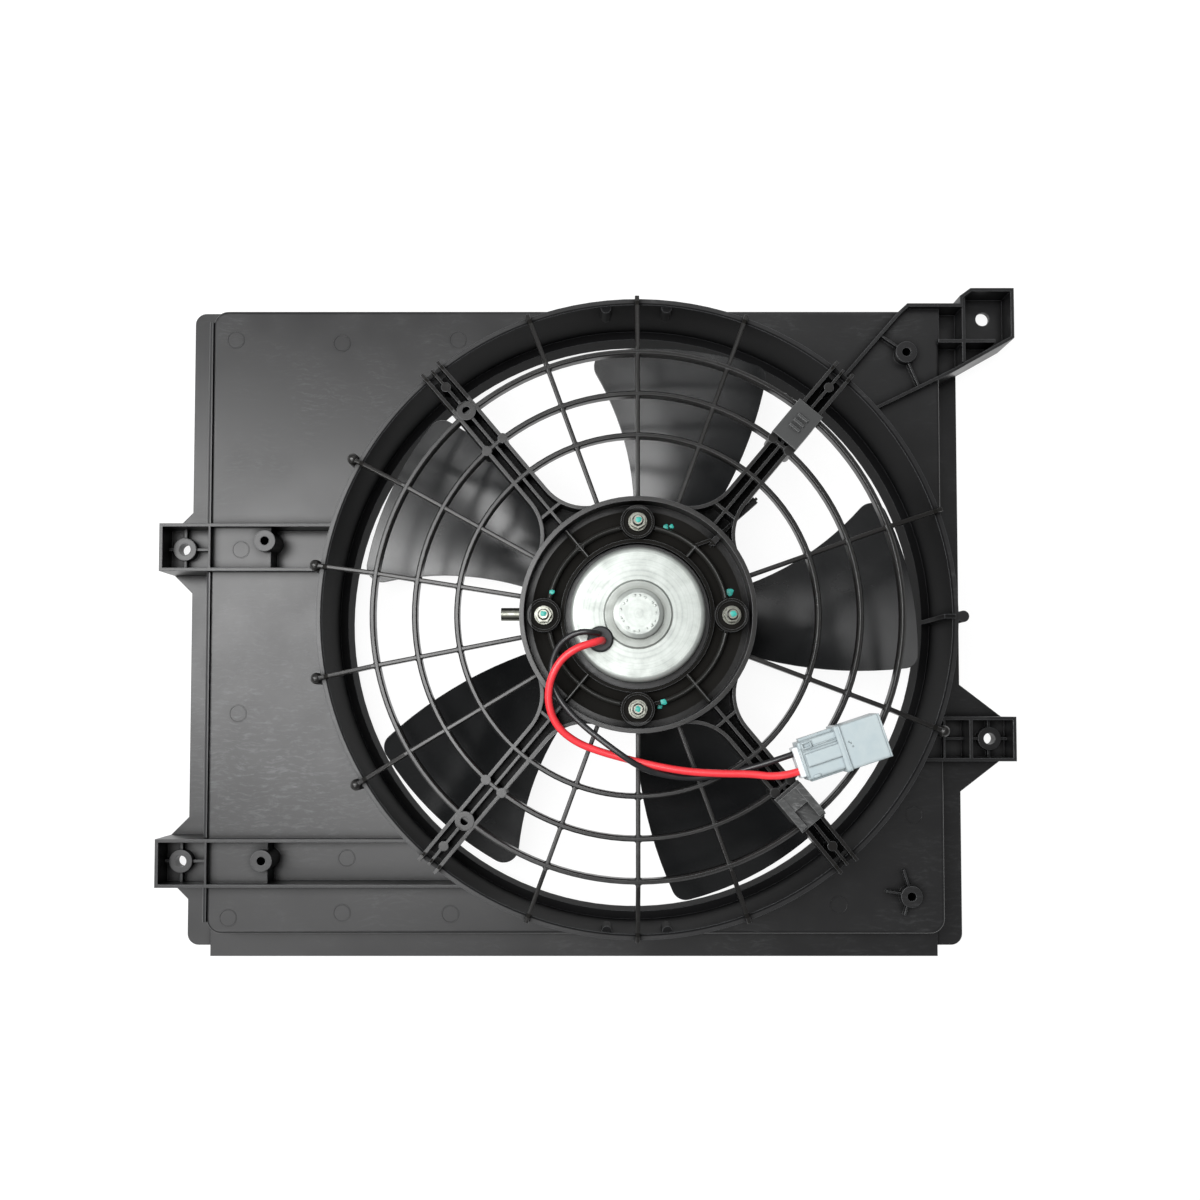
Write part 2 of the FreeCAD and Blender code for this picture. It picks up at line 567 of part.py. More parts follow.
def guard_rings():
    body = new_body("guard_rings")
    section = Profile(body, "ring_section", "XZ_Plane")
    for radius in ("guard_ring_a", "guard_ring_b", "guard_ring_c"):
        inside = f"{radius} - ring_width / 2"
        outside = f"{radius} + ring_width / 2"
        bevel = "ring_width / 4"
        section.loop((inside, "guard_top - rib_depth"), (outside, "guard_top - rib_depth"),
                     (outside, f"guard_top - {bevel}"), (f"{outside} - {bevel}", "guard_top"),
                     (f"{inside} + {bevel}", "guard_top"), (inside, f"guard_top - {bevel}"))
    turned(body, "guard_ring_turn", section)
    return body


def guard_rib():
    """One radial rib, flat inside the outer ring and sloping down to the rim of the shroud."""
    body = new_body("guard_rib")
    side = Profile(body, "guard_rib_outline", "XZ_Plane")
    start = "mount_radius - mount_wall / 2"
    side.loop((start, "guard_top - rib_depth"), ("guard_ring_c", "guard_top - rib_depth"),
              ("ring_inner - skin", "ring_top"), ("guard_reach", "ring_top"), ("guard_reach", "rib_end_top"),
              ("guard_ring_c + ring_width", "guard_top - rib_drop"), (start, "guard_top - rib_drop"))
    rib = pad(body, "guard_rib_pad", side, "rib_width", both_ways=True)

    def top_edge(edge):
        ends = [vertex.Point for vertex in edge.Vertexes]
        return abs(ends[0].y - ends[1].y) < 0.01 and min(spot.z for spot in ends) > number("rib_end_top") - 0.01

    body.Tip = round_edges(body, "guard_rib_round", rib, top_edge, "rib_round")
    return body


def motor_ring():
    """Ring with a floor that the motor is bolted to from below."""
    body = new_body("motor_ring")
    wall_in = "mount_radius - mount_wall"
    section = Profile(body, "motor_ring_section", "XZ_Plane")
    section.loop(("mount_bore", "mount_floor_low"), (wall_in, "mount_floor_low"), (wall_in, "mount_low"),
                 ("mount_radius", "mount_low"), ("mount_radius", "mount_top"), (wall_in, "mount_top"),
                 (wall_in, "mount_floor_top"), ("mount_bore + collar_wall", "mount_floor_top"),
                 ("mount_bore + collar_wall", "collar_top"), ("mount_bore", "collar_top"))
    turned(body, "motor_ring_turn", section)
    rib = Profile(body, "mid_rib_section", "XZ_Plane")
    rib.box("mid_circle - mid_rib / 2", "mid_circle + mid_rib / 2", "mount_floor_low + mount_root", "mid_rib_top")
    turned(body, "mid_rib_turn", rib)
    inner = "mount_bore + collar_wall / 2"
    outer = "mount_radius - mount_wall / 2"
    for turn in ARM_ANGLES:
        far, thick = ("mid_circle", "mid_rib") if turn in SHORT_RIBS else (outer, "cross_rib")
        cross = Profile(body, f"cross_rib_{turn}_outline", level="mount_floor_low + mount_root")
        cross.wall(pole(inner, turn), pole(far, turn), thick)
        pad(body, f"cross_rib_{turn}", cross, "collar_top - mount_floor_low - mount_root")
    pins = Profile(body, "cross_pin_outline", level="mount_floor_low + mount_root")
    for turn in PIN_RIBS:
        pins.circle(*pole("mid_circle", turn), "cross_pin")
    pad(body, "cross_pins", pins, "mid_rib_top + rib_drop - mount_floor_low - mount_root")
    bosses = Profile(body, "mount_boss_outline", level="mount_floor_low + mount_root")
    faces = Profile(body, "mount_face_outline", level="mount_boss_top")
    holes = Profile(body, "stud_hole_outline", level="mount_floor_low - mount_root")
    for turn in STUD_ANGLES:
        bosses.circle(*pole("stud_circle", turn), "mount_boss")
        faces.circle(*pole("stud_circle", turn), "mount_boss - boss_lip")
        holes.circle(*pole("stud_circle", turn), "stud_hole")
    pad(body, "mount_bosses", bosses, "mount_boss_top + lip_rise - mount_floor_low - mount_root")
    pocket(body, "mount_faces", faces, "lip_rise")
    pocket(body, "stud_holes", holes, "mount_top")
    return body


def arm_plan(inset):
    """The arm from above, inset by a wall, with round flares where it runs into the motor ring."""
    dip = number("mount_wall") / 4
    ring = number("mount_radius") - dip
    offset = number("arm_half") + number("flare_radius")
    centre = Vector(math.sqrt((ring + number("flare_radius")) ** 2 - offset ** 2), offset, 0)
    flare = number("flare_radius") + inset
    half = number("arm_half") - inset
    inner = ring + (dip / 4 if inset else 0)
    along = (inner ** 2 - flare ** 2 + centre.Length ** 2) / (2 * centre.Length)
    aside = math.sqrt(max(0, inner ** 2 - along ** 2))
    unit = centre / centre.Length
    contact = unit * along + Vector(unit.y, -unit.x, 0) * aside
    tangent = Vector(centre.x, half, 0)
    bend = centre + ((contact - centre) + (tangent - centre)).normalize() * flare
    end = Vector(number("guard_reach"), half, 0)
    contact_low, tangent_low, bend_low, end_low = (
        Vector(spot.x, -spot.y, 0) for spot in (contact, tangent, bend, end))
    edges = [
        Part.Arc(contact, bend, tangent).toShape(),
        Part.makeLine(tangent, end),
        Part.makeLine(end, end_low),
        Part.makeLine(end_low, tangent_low),
        Part.Arc(tangent_low, bend_low, contact_low).toShape(),
        Part.Arc(contact_low, Vector(inner, 0, 0), contact).toShape(),
    ]
    return Part.Face(Part.Wire(edges))


def make_arm(with_boss):
    """One arm of the guard along +X: open channel, centre rib, cross webs and small round posts."""
    ring = number("mount_radius - mount_wall / 2")
    top = number("guard_top")
    low = number("arm_low")
    floor = number("arm_floor")
    wall = number("arm_wall")
    rib = number("arm_rib")
    reach = number("guard_reach")
    web_lift = number("arm_web_lift")
    rib_rise = number("guard_top - arm_low - rib_drop - 2 * arm_web_lift")
    block = arm_plan(0).extrude(Vector(0, 0, top - low))
    block.translate(Vector(0, 0, low))
    hollow = arm_plan(wall).extrude(Vector(0, 0, top))
    hollow.translate(Vector(0, 0, floor))
    webs = [Part.makeBox(reach - ring - rib, rib, rib_rise, Vector(ring, -rib / 2, low + web_lift))]
    width = number("flare_radius")
    for place in (number("mount_radius + arm_web_at"), number("guard_ring_a"), number("guard_ring_b")):
        web = Part.makeBox(rib, width, rib_rise, Vector(place - rib / 2, -width / 2, low + web_lift))
        webs.append(web.common(block))
    radius = number("node_radius")
    node_top = number("guard_top + seat / 2")
    for across in (-1, 1):
        spot = Vector(number("guard_ring_b"), across * (number("arm_half") - wall / 2), low + 2 * web_lift)
        webs.append(Part.makeCylinder(radius, node_top - spot.z, spot))
    webs.append(Part.makeCylinder(radius, rib_rise, Vector(number("arm_pin_at"), 0, low + 2 * web_lift)))
    boss_at = number("arm_boss_at")
    if with_boss:
        boss_low = low + 2 * web_lift
        webs.append(Part.makeCylinder(number("arm_boss"), node_top - boss_low, Vector(boss_at, 0, boss_low)))
    arm = block.cut(hollow).fuse(webs)
    seat = number("ring_inner - skin")
    beyond = reach + wall
    wide = 2 * number("flare_radius")
    cuts = [Part.makeBox(beyond - seat, wide, number("ring_top") - low + 1, Vector(seat, -wide / 2, low - 1))]
    slope = [Vector(number("guard_ring_c"), -wide / 2, top - 0.01), Vector(reach, -wide / 2, number("arm_end_top")),
             Vector(beyond, -wide / 2, number("arm_end_top")), Vector(beyond, -wide / 2, top + 1),
             Vector(number("guard_ring_c"), -wide / 2, top + 1)]
    if with_boss:
        cuts.append(Part.makeCylinder(number("arm_boss_bore"), top, Vector(boss_at, 0, floor)))
        slope[0].x = number("arm_boss_at + arm_boss")
    cuts.append(Part.Face(Part.makePolygon(slope + slope[:1])).extrude(Vector(0, wide, 0)))
    return arm.cut(cuts)


def make_fan_guard():
    rib = guard_rib()
    members = [guard_rings(), motor_ring(), rib]
    for turn in RIB_ANGLES:
        if turn == RIB_ANGLES[0]:
            rib.Placement = Placement(Vector(0, 0, 0), Rotation(Vector(0, 0, 1), turn))
            continue
        copy = doc.addObject("App::Link", f"guard_rib_{RIB_ANGLES.index(turn)}")
        copy.LinkedObject = rib
        copy.LinkTransform = False
        copy.Placement = Placement(Vector(0, 0, 0), Rotation(Vector(0, 0, 1), turn))
        members.append(copy)
    for index, turn in enumerate(ARM_ANGLES):
        place = Placement(Vector(0, 0, 0), Rotation(Vector(0, 0, 1), turn))
        members.append(shaped(f"guard_arm_{index}", make_arm(turn in BOSS_ARMS), place))
    for index, turn in enumerate(POST_ANGLES[:-1]):
        spot = Vector(number("post_circle"), 0, number("ring_top"))
        knob = Part.makeSphere(number("post_radius"), spot, Vector(0, 0, 1), 0, 90, 360)
        place = Placement(Vector(0, 0, 0), Rotation(Vector(0, 0, 1), turn))
        members.append(shaped(f"guard_knob_{index}", knob, place))
    return fused("fan_guard", members)


def placed(angle):
    """A turn about the fan axis."""
    return Placement(Vector(0, 0, 0), Rotation(Vector(0, 0, 1), angle))


def ring_of(label, body, angles):
    """Equal solids at several angles about the fan axis, as one group."""
    copies = []
    for index, angle in enumerate(angles):
        copy = doc.addObject("App::Link", f"{label}_{index}")
        copy.LinkedObject = body
        copy.LinkTransform = False
        copy.Placement = placed(angle)
        copies.append(copy)
    group = doc.addObject("Part::Compound", label)
    group.Links = copies
    group.Label = label
    return group


# clips that snap over the arms

def make_clip(label, turn, latched):
    body = new_body(label)
    inner = "arm_half + seat"
    outer = "arm_half + seat + clip_wall"
    start = "clip_at - clip_length / 2"
    saddle = Profile(body, f"{label}_top_outline", level="guard_top + seat")
    saddle.box(start, f"{start} + clip_length", f"0 - ({outer})", outer)
    pad(body, f"{label}_top", saddle, "clip_wall + 0.5")
    skirts = Profile(body, f"{label}_skirt_outline", level="arm_low - seat - clip_wall")
    for low, high in ((f"0 - ({outer})", f"0 - ({inner})"), (inner, outer)):
        skirts.box("guard_ring_b + ring_width", "guard_ring_c - ring_width", low, high)
    pad(body, f"{label}_skirts", skirts, "guard_top - arm_low + 2 * seat + 1.2 * clip_wall")
    hooks = Profile(body, f"{label}_hook_outline", level="arm_low - seat - clip_wall")
    for low, high in ((f"0 - ({outer})", f"clip_hook - ({inner})"), (f"{inner} - clip_hook", outer)):
        hooks.box("guard_ring_b + ring_width", "guard_ring_c - ring_width", low, high)
    pad(body, f"{label}_hooks", hooks, "clip_wall")
    level = "guard_top + seat + clip_wall"
    if latched:
        cheeks = Profile(body, f"{label}_cheek_outline", level=level)
        for low, high in ((f"0 - ({outer})", "-arm_half + clip_hook"), ("arm_half - clip_hook", outer)):
            cheeks.box(f"{start} + clip_wall", f"{start} + clip_length - clip_wall", low, high)
        pad(body, f"{label}_cheeks", cheeks, "clip_rise")
        bridge = Profile(body, f"{label}_bridge_outline", level=level)
        bridge.box(f"{start} + clip_wall", f"{start} + clip_length / 2", "-arm_half", "arm_half")
        body.Tip = pad(body, f"{label}_bridge", bridge, "clip_rise - 0.4")
    else:
        bars = Profile(body, f"{label}_bar_outline", level=level)
        for step in (0.35, 0.5, 0.65):
            bars.box(f"{start} + clip_length * {step}", f"{start} + clip_length * {step} + arm_rib",
                     "-arm_half / 2", "arm_half / 2")
        body.Tip = pad(body, f"{label}_bars", bars, "clip_wall")
    body.Placement = placed(turn)
    return body


# fixed half of the motor

def make_can():
    body = new_body("motor_can")
    inside = "can_radius - can_wall"
    bearing = "bearing_outer + fit"
    section = Profile(body, "can_section", "XZ_Plane")
    section.loop((inside, "can_low"), ("can_radius", "can_low"), ("can_radius", "can_end"),
                 ("step_radius", "can_end"), ("step_radius - step_rise", "can_end + step_rise"),
                 ("pocket_radius", "can_end + step_rise"), ("pocket_radius", "pocket_end - step_rise"),
                 ("pocket_flat", "pocket_end"), ("0", "pocket_end"), ("0", "pocket_end - can_wall"),
                 (bearing, "pocket_end - can_wall"), (bearing, "can_end - can_wall"),
                 (inside, "can_end - can_wall"))
    turn = turned(body, "can_turn", section)

    def shoulder(edge):
        box = edge.BoundBox
        flat = abs(box.ZMin - number("can_end")) + abs(box.ZMax - number("can_end")) < 0.01
        return flat and box.XMax > number("can_radius") - 0.01

    round_edges(body, "can_round", turn, shoulder, "can_round")
    port = Profile(body, "grommet_port_outline", level="bearing_outer")
    port.circle("grommet_x", "grommet_y", "grommet_neck + fit")
    pocket(body, "grommet_port", port, "pocket_end")
    seat = Profile(body, "grommet_seat_outline", level="can_end")
    seat.circle("grommet_x", "grommet_y", "grommet_flange + fit")
    pocket(body, "grommet_seat", seat, "step_rise")
    side = Profile(body, "tube_port_outline", "YZ_Plane").circle("tube_y", "tube_z", "tube_radius + fit")
    body.Tip = pocket(body, "tube_port", side, "2 * can_radius", upward=False)
    return body


def make_front_cover():
    body = new_body("motor_front_cover")
    spigot = "can_radius - can_wall - fit"
    bearing = "bearing_outer + fit"
    throat = "shaft_radius + seat"
    section = Profile(body, "cover_section", "XZ_Plane")
    section.loop((throat, "front_pocket_low"), ("front_pocket_radius", "front_pocket_low"),
                 ("front_pocket_radius", "cover_low"), ("can_radius", "cover_low"), ("can_radius", "can_low"),
                 (spigot, "can_low"), (spigot, "can_low + can_wall"),
                 (f"{spigot} - can_wall", "can_low + can_wall"), (f"{spigot} - can_wall", "can_low"),
                 (bearing, "can_low"), (bearing, "front_pocket_low + step_rise"),
                 (throat, "front_pocket_low + step_rise"))
    turned(body, "cover_turn", section)
    return body


def make_bracket():
    """Sheet flange on the can, with four ears that bolt up under the bosses of the motor ring."""
    body = new_body("mounting_bracket")
    level = "mount_floor_low - plate_thick"
    disc = Profile(body, "bracket_disc_outline", level=level).circle("0", "0", "can_radius + plate_ear")
    pad(body, "bracket_disc", disc, "plate_thick")
    ears = Profile(body, "bracket_ear_outline", level=level)
    holes = Profile(body, "bracket_hole_outline", level=level)
    holes.circle("0", "0", "can_radius + fit")
    for turn in STUD_ANGLES:
        ears.circle(*pole("stud_circle", turn), "plate_ear")
        holes.circle(*pole("stud_circle", turn), "stud_radius + fit")
    pad(body, "bracket_ears", ears, "plate_thick")
    body.Tip = pocket(body, "bracket_holes", holes, "plate_thick")
    return body


def make_studs():
    body = new_body("mounting_stud")
    under = "mount_floor_low - plate_thick"
    head = Profile(body, "stud_head_outline", level=f"{under} - stud_head_thick")
    head.circle("stud_circle", "0", "stud_head")
    pad(body, "stud_head_pad", head, "stud_head_thick")
    shank = Profile(body, "stud_shank_outline", level=f"{under} - stud_head_thick / 2")
    shank.circle("stud_circle", "0", "stud_radius")
    body.Tip = pad(body, "stud_shank", shank, f"stud_end - ({under}) + stud_head_thick / 2")
    return ring_of("mounting_studs", body, STUD_ANGLES)


def hexagon(profile, x, half_flats):
    """A hexagon with two flats across Y, about a point on the X axis."""
    corner = f"({half_flats}) / cos(30 deg)"
    profile.loop(*((f"{x} + {corner} * cos({angle} deg)", f"{corner} * sin({angle} deg)")
                   for angle in range(0, 360, 60)))
    return profile


def make_nuts():
    body = new_body("flange_nut")
    flange = Profile(body, "nut_flange_outline", level="mount_boss_top").circle("stud_circle", "0", "nut_flange")
    pad(body, "nut_flange_pad", flange, "nut_flange_thick")
    block = hexagon(Profile(body, "nut_block_outline", level="mount_boss_top"), "stud_circle", "nut_flats")
    pad(body, "nut_block", block, "nut_height")
    bore = Profile(body, "nut_bore_outline", level="mount_boss_top")
    bore.circle("stud_circle", "0", "stud_radius + fit")
    body.Tip = pocket(body, "nut_bore", bore, "nut_height + 1")
    return ring_of("flange_nuts", body, STUD_ANGLES)


def make_tube():
    body = new_body("breather_tube")
    ring = Profile(body, "tube_outline", "YZ_Plane", level="-tube_reach")
    ring.circle("tube_y", "tube_z", "tube_radius").circle("tube_y", "tube_z", "tube_bore")
    pad(body, "tube_pad", ring, "tube_reach - can_radius + can_wall + 0.1")
    return body


def make_grommet():
    body = new_body("lead_grommet")
    under = "can_end - can_wall - fit"
    section = Profile(body, "grommet_section", "XZ_Plane")
    section.loop(("0", f"{under} - grommet_tail"), ("grommet_neck + 1", f"{under} - grommet_tail"),
                 ("grommet_neck + 1", under), ("grommet_neck", under), ("grommet_neck", "can_end + fit"),
                 ("grommet_flange", "can_end + fit"), ("grommet_flange", "can_end + step_rise"),
                 ("grommet_flange - step_rise", "can_end + grommet_rise"), ("0", "can_end + grommet_rise"))
    turned(body, "grommet_turn", section)
    set_formula(body, "Placement.Base.x", "grommet_x")
    set_formula(body, "Placement.Base.y", "grommet_y")
    return body


def make_bearing(label, low):
    body = new_body(label)
    race = "bearing_race"
    section = Profile(body, f"{label}_section", "XZ_Plane")
    inner = "shaft_radius + fit"
    high = f"{low} + bearing_width"
    section.loop((inner, low), (f"{inner} + {race}", low), (f"{inner} + {race}", f"{low} + 0.6"),
                 (f"bearing_outer - {race}", f"{low} + 0.6"), (f"bearing_outer - {race}", low),
                 ("bearing_outer", low), ("bearing_outer", high), (f"bearing_outer - {race}", high),
                 (f"bearing_outer - {race}", f"{high} - 0.6"), (f"{inner} + {race}", f"{high} - 0.6"),
                 (f"{inner} + {race}", high), (inner, high))
    turned(body, f"{label}_turn", section)
    return body


def make_magnets():
    body = new_body("magnet")
    section = Profile(body, "magnet_section", "XZ_Plane")
    section.box("magnet_inner", "can_radius - can_wall - fit", "magnet_low", "magnet_high")
    arc = turned(body, "magnet_arc", section)
    set_formula(arc, "Angle", "magnet_sweep")
    arc.Midplane = True
    return ring_of("field_magnets", body, tuple(turn + 45 for turn in STUD_ANGLES))


def make_brush_holder():
    """Insulating plate under the end of the can, with an open guide box for each brush."""
    body = new_body("brush_holder")
    plate = Profile(body, "holder_plate_outline", level="holder_low")
    plate.circle("0", "0", "holder_radius").circle("0", "0", "holder_bore")
    pad(body, "holder_plate", plate, "holder_high - holder_low")
    half = "brush_width / 2 + fit"
    rise = "(brush_height / 2 + fit)"
    back = "commutator_radius + seat + brush_length + spring_length"
    guides = Profile(body, "guide_outline", level=f"brush_z - {rise} - box_wall")
    slots = Profile(body, "guide_slot_outline", level=f"brush_z - {rise}")
    for side in ("", "-"):
        near, far = (f"{side}(holder_bore + 1)", f"{side}({back} + box_wall)")
        low, high = (near, far) if not side else (far, near)
        guides.box(f"0 - ({half} + box_wall)", f"{half} + box_wall", low, high)
        near, far = (f"{side}(holder_bore - 2)", f"{side}({back})")
        low, high = (near, far) if not side else (far, near)
        slots.box(f"0 - ({half})", half, low, high)
    pad(body, "guides", guides, f"holder_low - (brush_z - {rise} - box_wall) + 0.2")
    body.Tip = pocket(body, "guide_slots", slots, f"2 * {rise}")
    return body


def make_brush(label, turn):
    body = new_body(label)
    start = "commutator_radius + seat"
    block = Profile(body, f"{label}_outline", level="brush_z - brush_height / 2")
    block.box("commutator_radius / 2", f"{start} + brush_length", "-brush_width / 2", "brush_width / 2")
    pad(body, f"{label}_pad", block, "brush_height")
    face = Profile(body, f"{label}_face_outline", level="brush_z - brush_height / 2").circle("0", "0", start)
    body.Tip = pocket(body, f"{label}_face", face, "brush_height")
    body.Placement = placed(turn)
    return body


def make_spring(label, turn):
    """A coil spring behind a brush, as a row of joined turns."""
    start = number("commutator_radius + seat + brush_length")
    length = number("spring_length")
    radius = number("spring_radius")
    wire = radius / 4
    turns = 5
    pitch = length / turns
    height = number("brush_z")
    rings = [Part.makeTorus(radius - wire, wire, Vector(start + pitch * (index + 0.5), 0, height), Vector(1, 0, 0))
             for index in range(turns)]
    spine = Part.makeCylinder(wire / 2, length, Vector(start, 0, height + radius - wire), Vector(1, 0, 0))
    return shaped(label, spine.fuse(rings), placed(turn))


# rotating half

def make_shaft():
    body = new_body("rotor_shaft")
    section = Profile(body, "shaft_section", "XZ_Plane")
    section.loop(("0", "shaft_low"), ("shaft_radius - 0.8", "shaft_low"), ("shaft_radius", "shaft_low + 0.8"),
                 ("shaft_radius", "shaft_high - 0.8"), ("shaft_radius - 0.8", "shaft_high"), ("0", "shaft_high"))
    turned(body, "shaft_turn", section)
    return body


def make_core():
    body = new_body("armature_core")
    disc = Profile(body, "core_outline", level="core_low")
    disc.circle("0", "0", "core_radius").circle("0", "0", "shaft_radius + fit")
    pad(body, "core_pad", disc, "core_high - core_low")
    slot = Profile(body, "slot_outline", level="core_low")
    shelf = "core_radius - slot_roof"
    slot.loop((f"{shelf} - slot_depth", "-slot_width / 2"), (shelf, "-slot_width / 2"),
              (shelf, "-slot_mouth / 2"), ("core_radius + 1", "-slot_mouth / 2"),
              ("core_radius + 1", "slot_mouth / 2"), (shelf, "slot_mouth / 2"), (shelf, "slot_width / 2"),
              (f"{shelf} - slot_depth", "slot_width / 2"))
    cut = pocket(body, "slot", slot, "core_high - core_low")
    polar(body, "slots", [cut], 360, SLOTS)
    return body


def make_windings():
    body = new_body("armature_windings")
    for name, low in (("front", "core_low - winding_bulge"), ("rear", "core_high")):
        ring = Profile(body, f"{name}_turns_outline", level=low)
        ring.circle("0", "0", "winding_outer").circle("0", "0", "winding_inner")
        pad(body, f"{name}_turns", ring, "winding_bulge")
        if name == "front":
            side = Profile(body, "coil_side_outline", level="core_low - winding_bulge / 2")
            side.box("core_radius - slot_roof - slot_depth + seat", "winding_outer - seat",
                     "-slot_width / 2 + seat", "slot_width / 2 - seat")
            bar = pad(body, "coil_side", side, "core_high - core_low + winding_bulge")
            polar(body, "coil_sides", [bar], 360, SLOTS)
    body.Tip = body.Group[-1]
    return body


def make_commutator():
    body = new_body("commutator")
    drum = Profile(body, "drum_outline", level="commutator_low")
    drum.circle("0", "0", "commutator_radius").circle("0", "0", "shaft_radius + fit")
    pad(body, "drum", drum, "commutator_high - commutator_low")
    slit = Profile(body, "slit_outline", level="commutator_low")
    slit.box("commutator_radius - 1", "commutator_radius + 1", "-commutator_slit / 2", "commutator_slit / 2")
    cut = pocket(body, "slit", slit, "commutator_high - commutator_low")
    polar(body, "slits", [cut], 360, SLOTS)
    return body


def make_washer(label, low, outer, thick):
    body = new_body(label)
    disc = Profile(body, f"{label}_outline", level=low)
    disc.circle("0", "0", outer).circle("0", "0", "shaft_radius + fit")
    pad(body, f"{label}_pad", disc, thick)
    return body


def make_fan_nut():
    body = new_body("fan_nut")
    low = "hub_boss_low - fan_washer_thick - fan_nut_height"
    block = hexagon(Profile(body, "fan_nut_outline", level=low), "0", "fan_nut_flats")
    pad(body, "fan_nut_block", block, "fan_nut_height")
    bore = Profile(body, "fan_nut_bore_outline", level=low).circle("0", "0", "shaft_radius + fit")
    body.Tip = pocket(body, "fan_nut_bore", bore, "fan_nut_height")
    return body


def hub():
    body = new_body("fan_hub")
    bore = "shaft_radius + fit"
    skin = "hub_radius - hub_wall"
    floor = "hub_low + hub_wall"
    section = Profile(body, "hub_section", "XZ_Plane")
    section.loop((bore, "hub_boss_low"), ("hub_boss", "hub_boss_low"), ("hub_boss", "hub_low"),
                 ("hub_radius - hub_round", "hub_low"), ("hub_radius", "hub_low + hub_round"),
                 ("hub_radius", "hub_high"), (skin, "hub_high"), (skin, f"{floor} + hub_round / 2"),
                 (f"{skin} - hub_round / 2", floor), ("hub_boss", floor), ("hub_boss", "hub_boss_high"),
                 (bore, "hub_boss_high"))
    turned(body, "hub_turn", section)
    side = Profile(body, "hub_rib_outline", "XZ_Plane")
    side.loop(("hub_boss - 1", f"{floor} - 1"), (f"{skin} + 1", f"{floor} + hub_round / 2"),
              (f"{skin} + 1", "hub_rib_high"), ("front_pocket_radius + 5", "hub_rib_high"),
              ("hub_boss - 1", "hub_boss_high - 1"))
    rib = pad(body, "hub_rib_pad", side, "hub_rib", both_ways=True)
    polar(body, "hub_ribs", [rib], 360, HUB_RIBS)
    return body


def blade_edge(root, middle, tip, radii):
    """One edge of the blade from above: a curve through places at given angles."""
    spots = []
    for radius, angle in zip(radii, (root, middle, tip)):
        turn = math.radians(number(angle))
        spots.append(Vector(radius * math.cos(turn), radius * math.sin(turn), 0))
    curve = Part.BSplineCurve()
    curve.interpolate(spots)
    return curve.toShape(), spots


def blade():
    """One blade: a cambered, twisted sheet cut to the outline of the blade from above."""
    root = number("hub_radius - hub_wall / 2")
    tip = number("fan_radius")
    radii = (root, (root + tip) / 2, tip)
    lead, lead_spots = blade_edge("lead_root_angle", "lead_mid_angle", "lead_tip_angle", radii)
    trail, trail_spots = blade_edge("trail_root_angle", "trail_mid_angle", "trail_tip_angle", radii)
    middle = math.radians(number("(lead_tip_angle + trail_tip_angle) / 2"))
    outer = Part.Arc(trail_spots[2], Vector(tip * math.cos(middle), tip * math.sin(middle), 0), lead_spots[2])
    inner = Part.Arc(trail_spots[0], Vector(root, 0, 0), lead_spots[0])
    wire = Part.Wire(Part.__sortEdges__([trail, outer.toShape(), lead, inner.toShape()]))
    tall = number("hub_high + blade_thick")
    prism = Part.Face(wire).extrude(Vector(0, 0, tall))
    corners = [edge for edge in prism.Edges
               if edge.BoundBox.ZLength > tall - 1 and edge.BoundBox.Center.Length > 0
               and math.hypot(edge.BoundBox.Center.x, edge.BoundBox.Center.y) > tip - 1]
    prism = prism.makeFillet(number("blade_corner"), corners)
    rows = []
    for share in (-0.06, 0.28, 0.64, 1.04):
        radius = root + share * (tip - root)
        low_z = number("lead_root_z") + share * number("lead_tip_z - lead_root_z")
        high_z = number("trail_root_z") + share * number("trail_tip_z - trail_root_z")
        lead_turn = number("lead_root_angle") + share * number("lead_tip_angle - lead_root_angle")
        trail_turn = number("trail_root_angle") + share * number("trail_tip_angle - trail_root_angle")
        row = []
        for part_way in (-0.12, 0.2, 0.5, 0.8, 1.12):
            turn = math.radians(lead_turn + part_way * (trail_turn - lead_turn))
            sag = number("blade_camber") * 4 * part_way * (1 - part_way)
            height = low_z + part_way * (high_z - low_z) - sag
            row.append(Vector(radius * math.cos(turn), radius * math.sin(turn), height))
        rows.append(row)
    surface = Part.BSplineSurface()
    surface.interpolate(rows)
    thick = number("blade_thick")
    sheet_solid = surface.toShape().extrude(Vector(0, 0, thick))
    sheet_solid.translate(Vector(0, 0, -thick / 2))
    return sheet_solid.common(prism)


def make_fan():
    members = [hub()]
    shape = blade()
    for index in range(BLADES):
        members.append(shaped(f"fan_blade_{index}", shape, placed(BLADE_TURN + index * 360 / BLADES)))
    return fused("fan", members)


# leads and their plug

def bent_tube(name, route, radius):
    """A round tube along straight runs that are joined by tangent arcs."""
    spots = [Vector(*spot) for spot in route]
    edges = []
    start = spots[0]
    for before, corner, after in zip(spots, spots[1:], spots[2:]):
        back = before - corner
        ahead = after - corner
        half_turn = (math.pi - back.getAngle(ahead)) / 2
        trim = LEAD_TRIM * min(back.Length, ahead.Length)
        print(name, "arc radius", round(trim / math.tan(half_turn), 1))
        entry = corner + back.normalize() * trim
        leave = corner + ahead.normalize() * trim
        bulge = (back + ahead).normalize()
        bend = trim / math.tan(half_turn)
        middle = corner + bulge * (math.hypot(trim, bend) - bend)
        edges.append(Part.LineSegment(start, entry).toShape())
        edges.append(Part.Arc(entry, middle, leave).toShape())
        start = leave
    edges.append(Part.LineSegment(start, spots[-1]).toShape())
    path = Part.Wire(edges)
    direction = spots[1] - spots[0]
    section = Part.Wire([Part.makeCircle(radius, spots[0], direction)])
    tube = path.makePipeShell([section], True, False)
    ideal = math.pi * radius ** 2 * path.Length
    print(name, "length", round(path.Length, 1), "volume share", round(tube.Volume / ideal, 4))
    return shaped(name, tube)


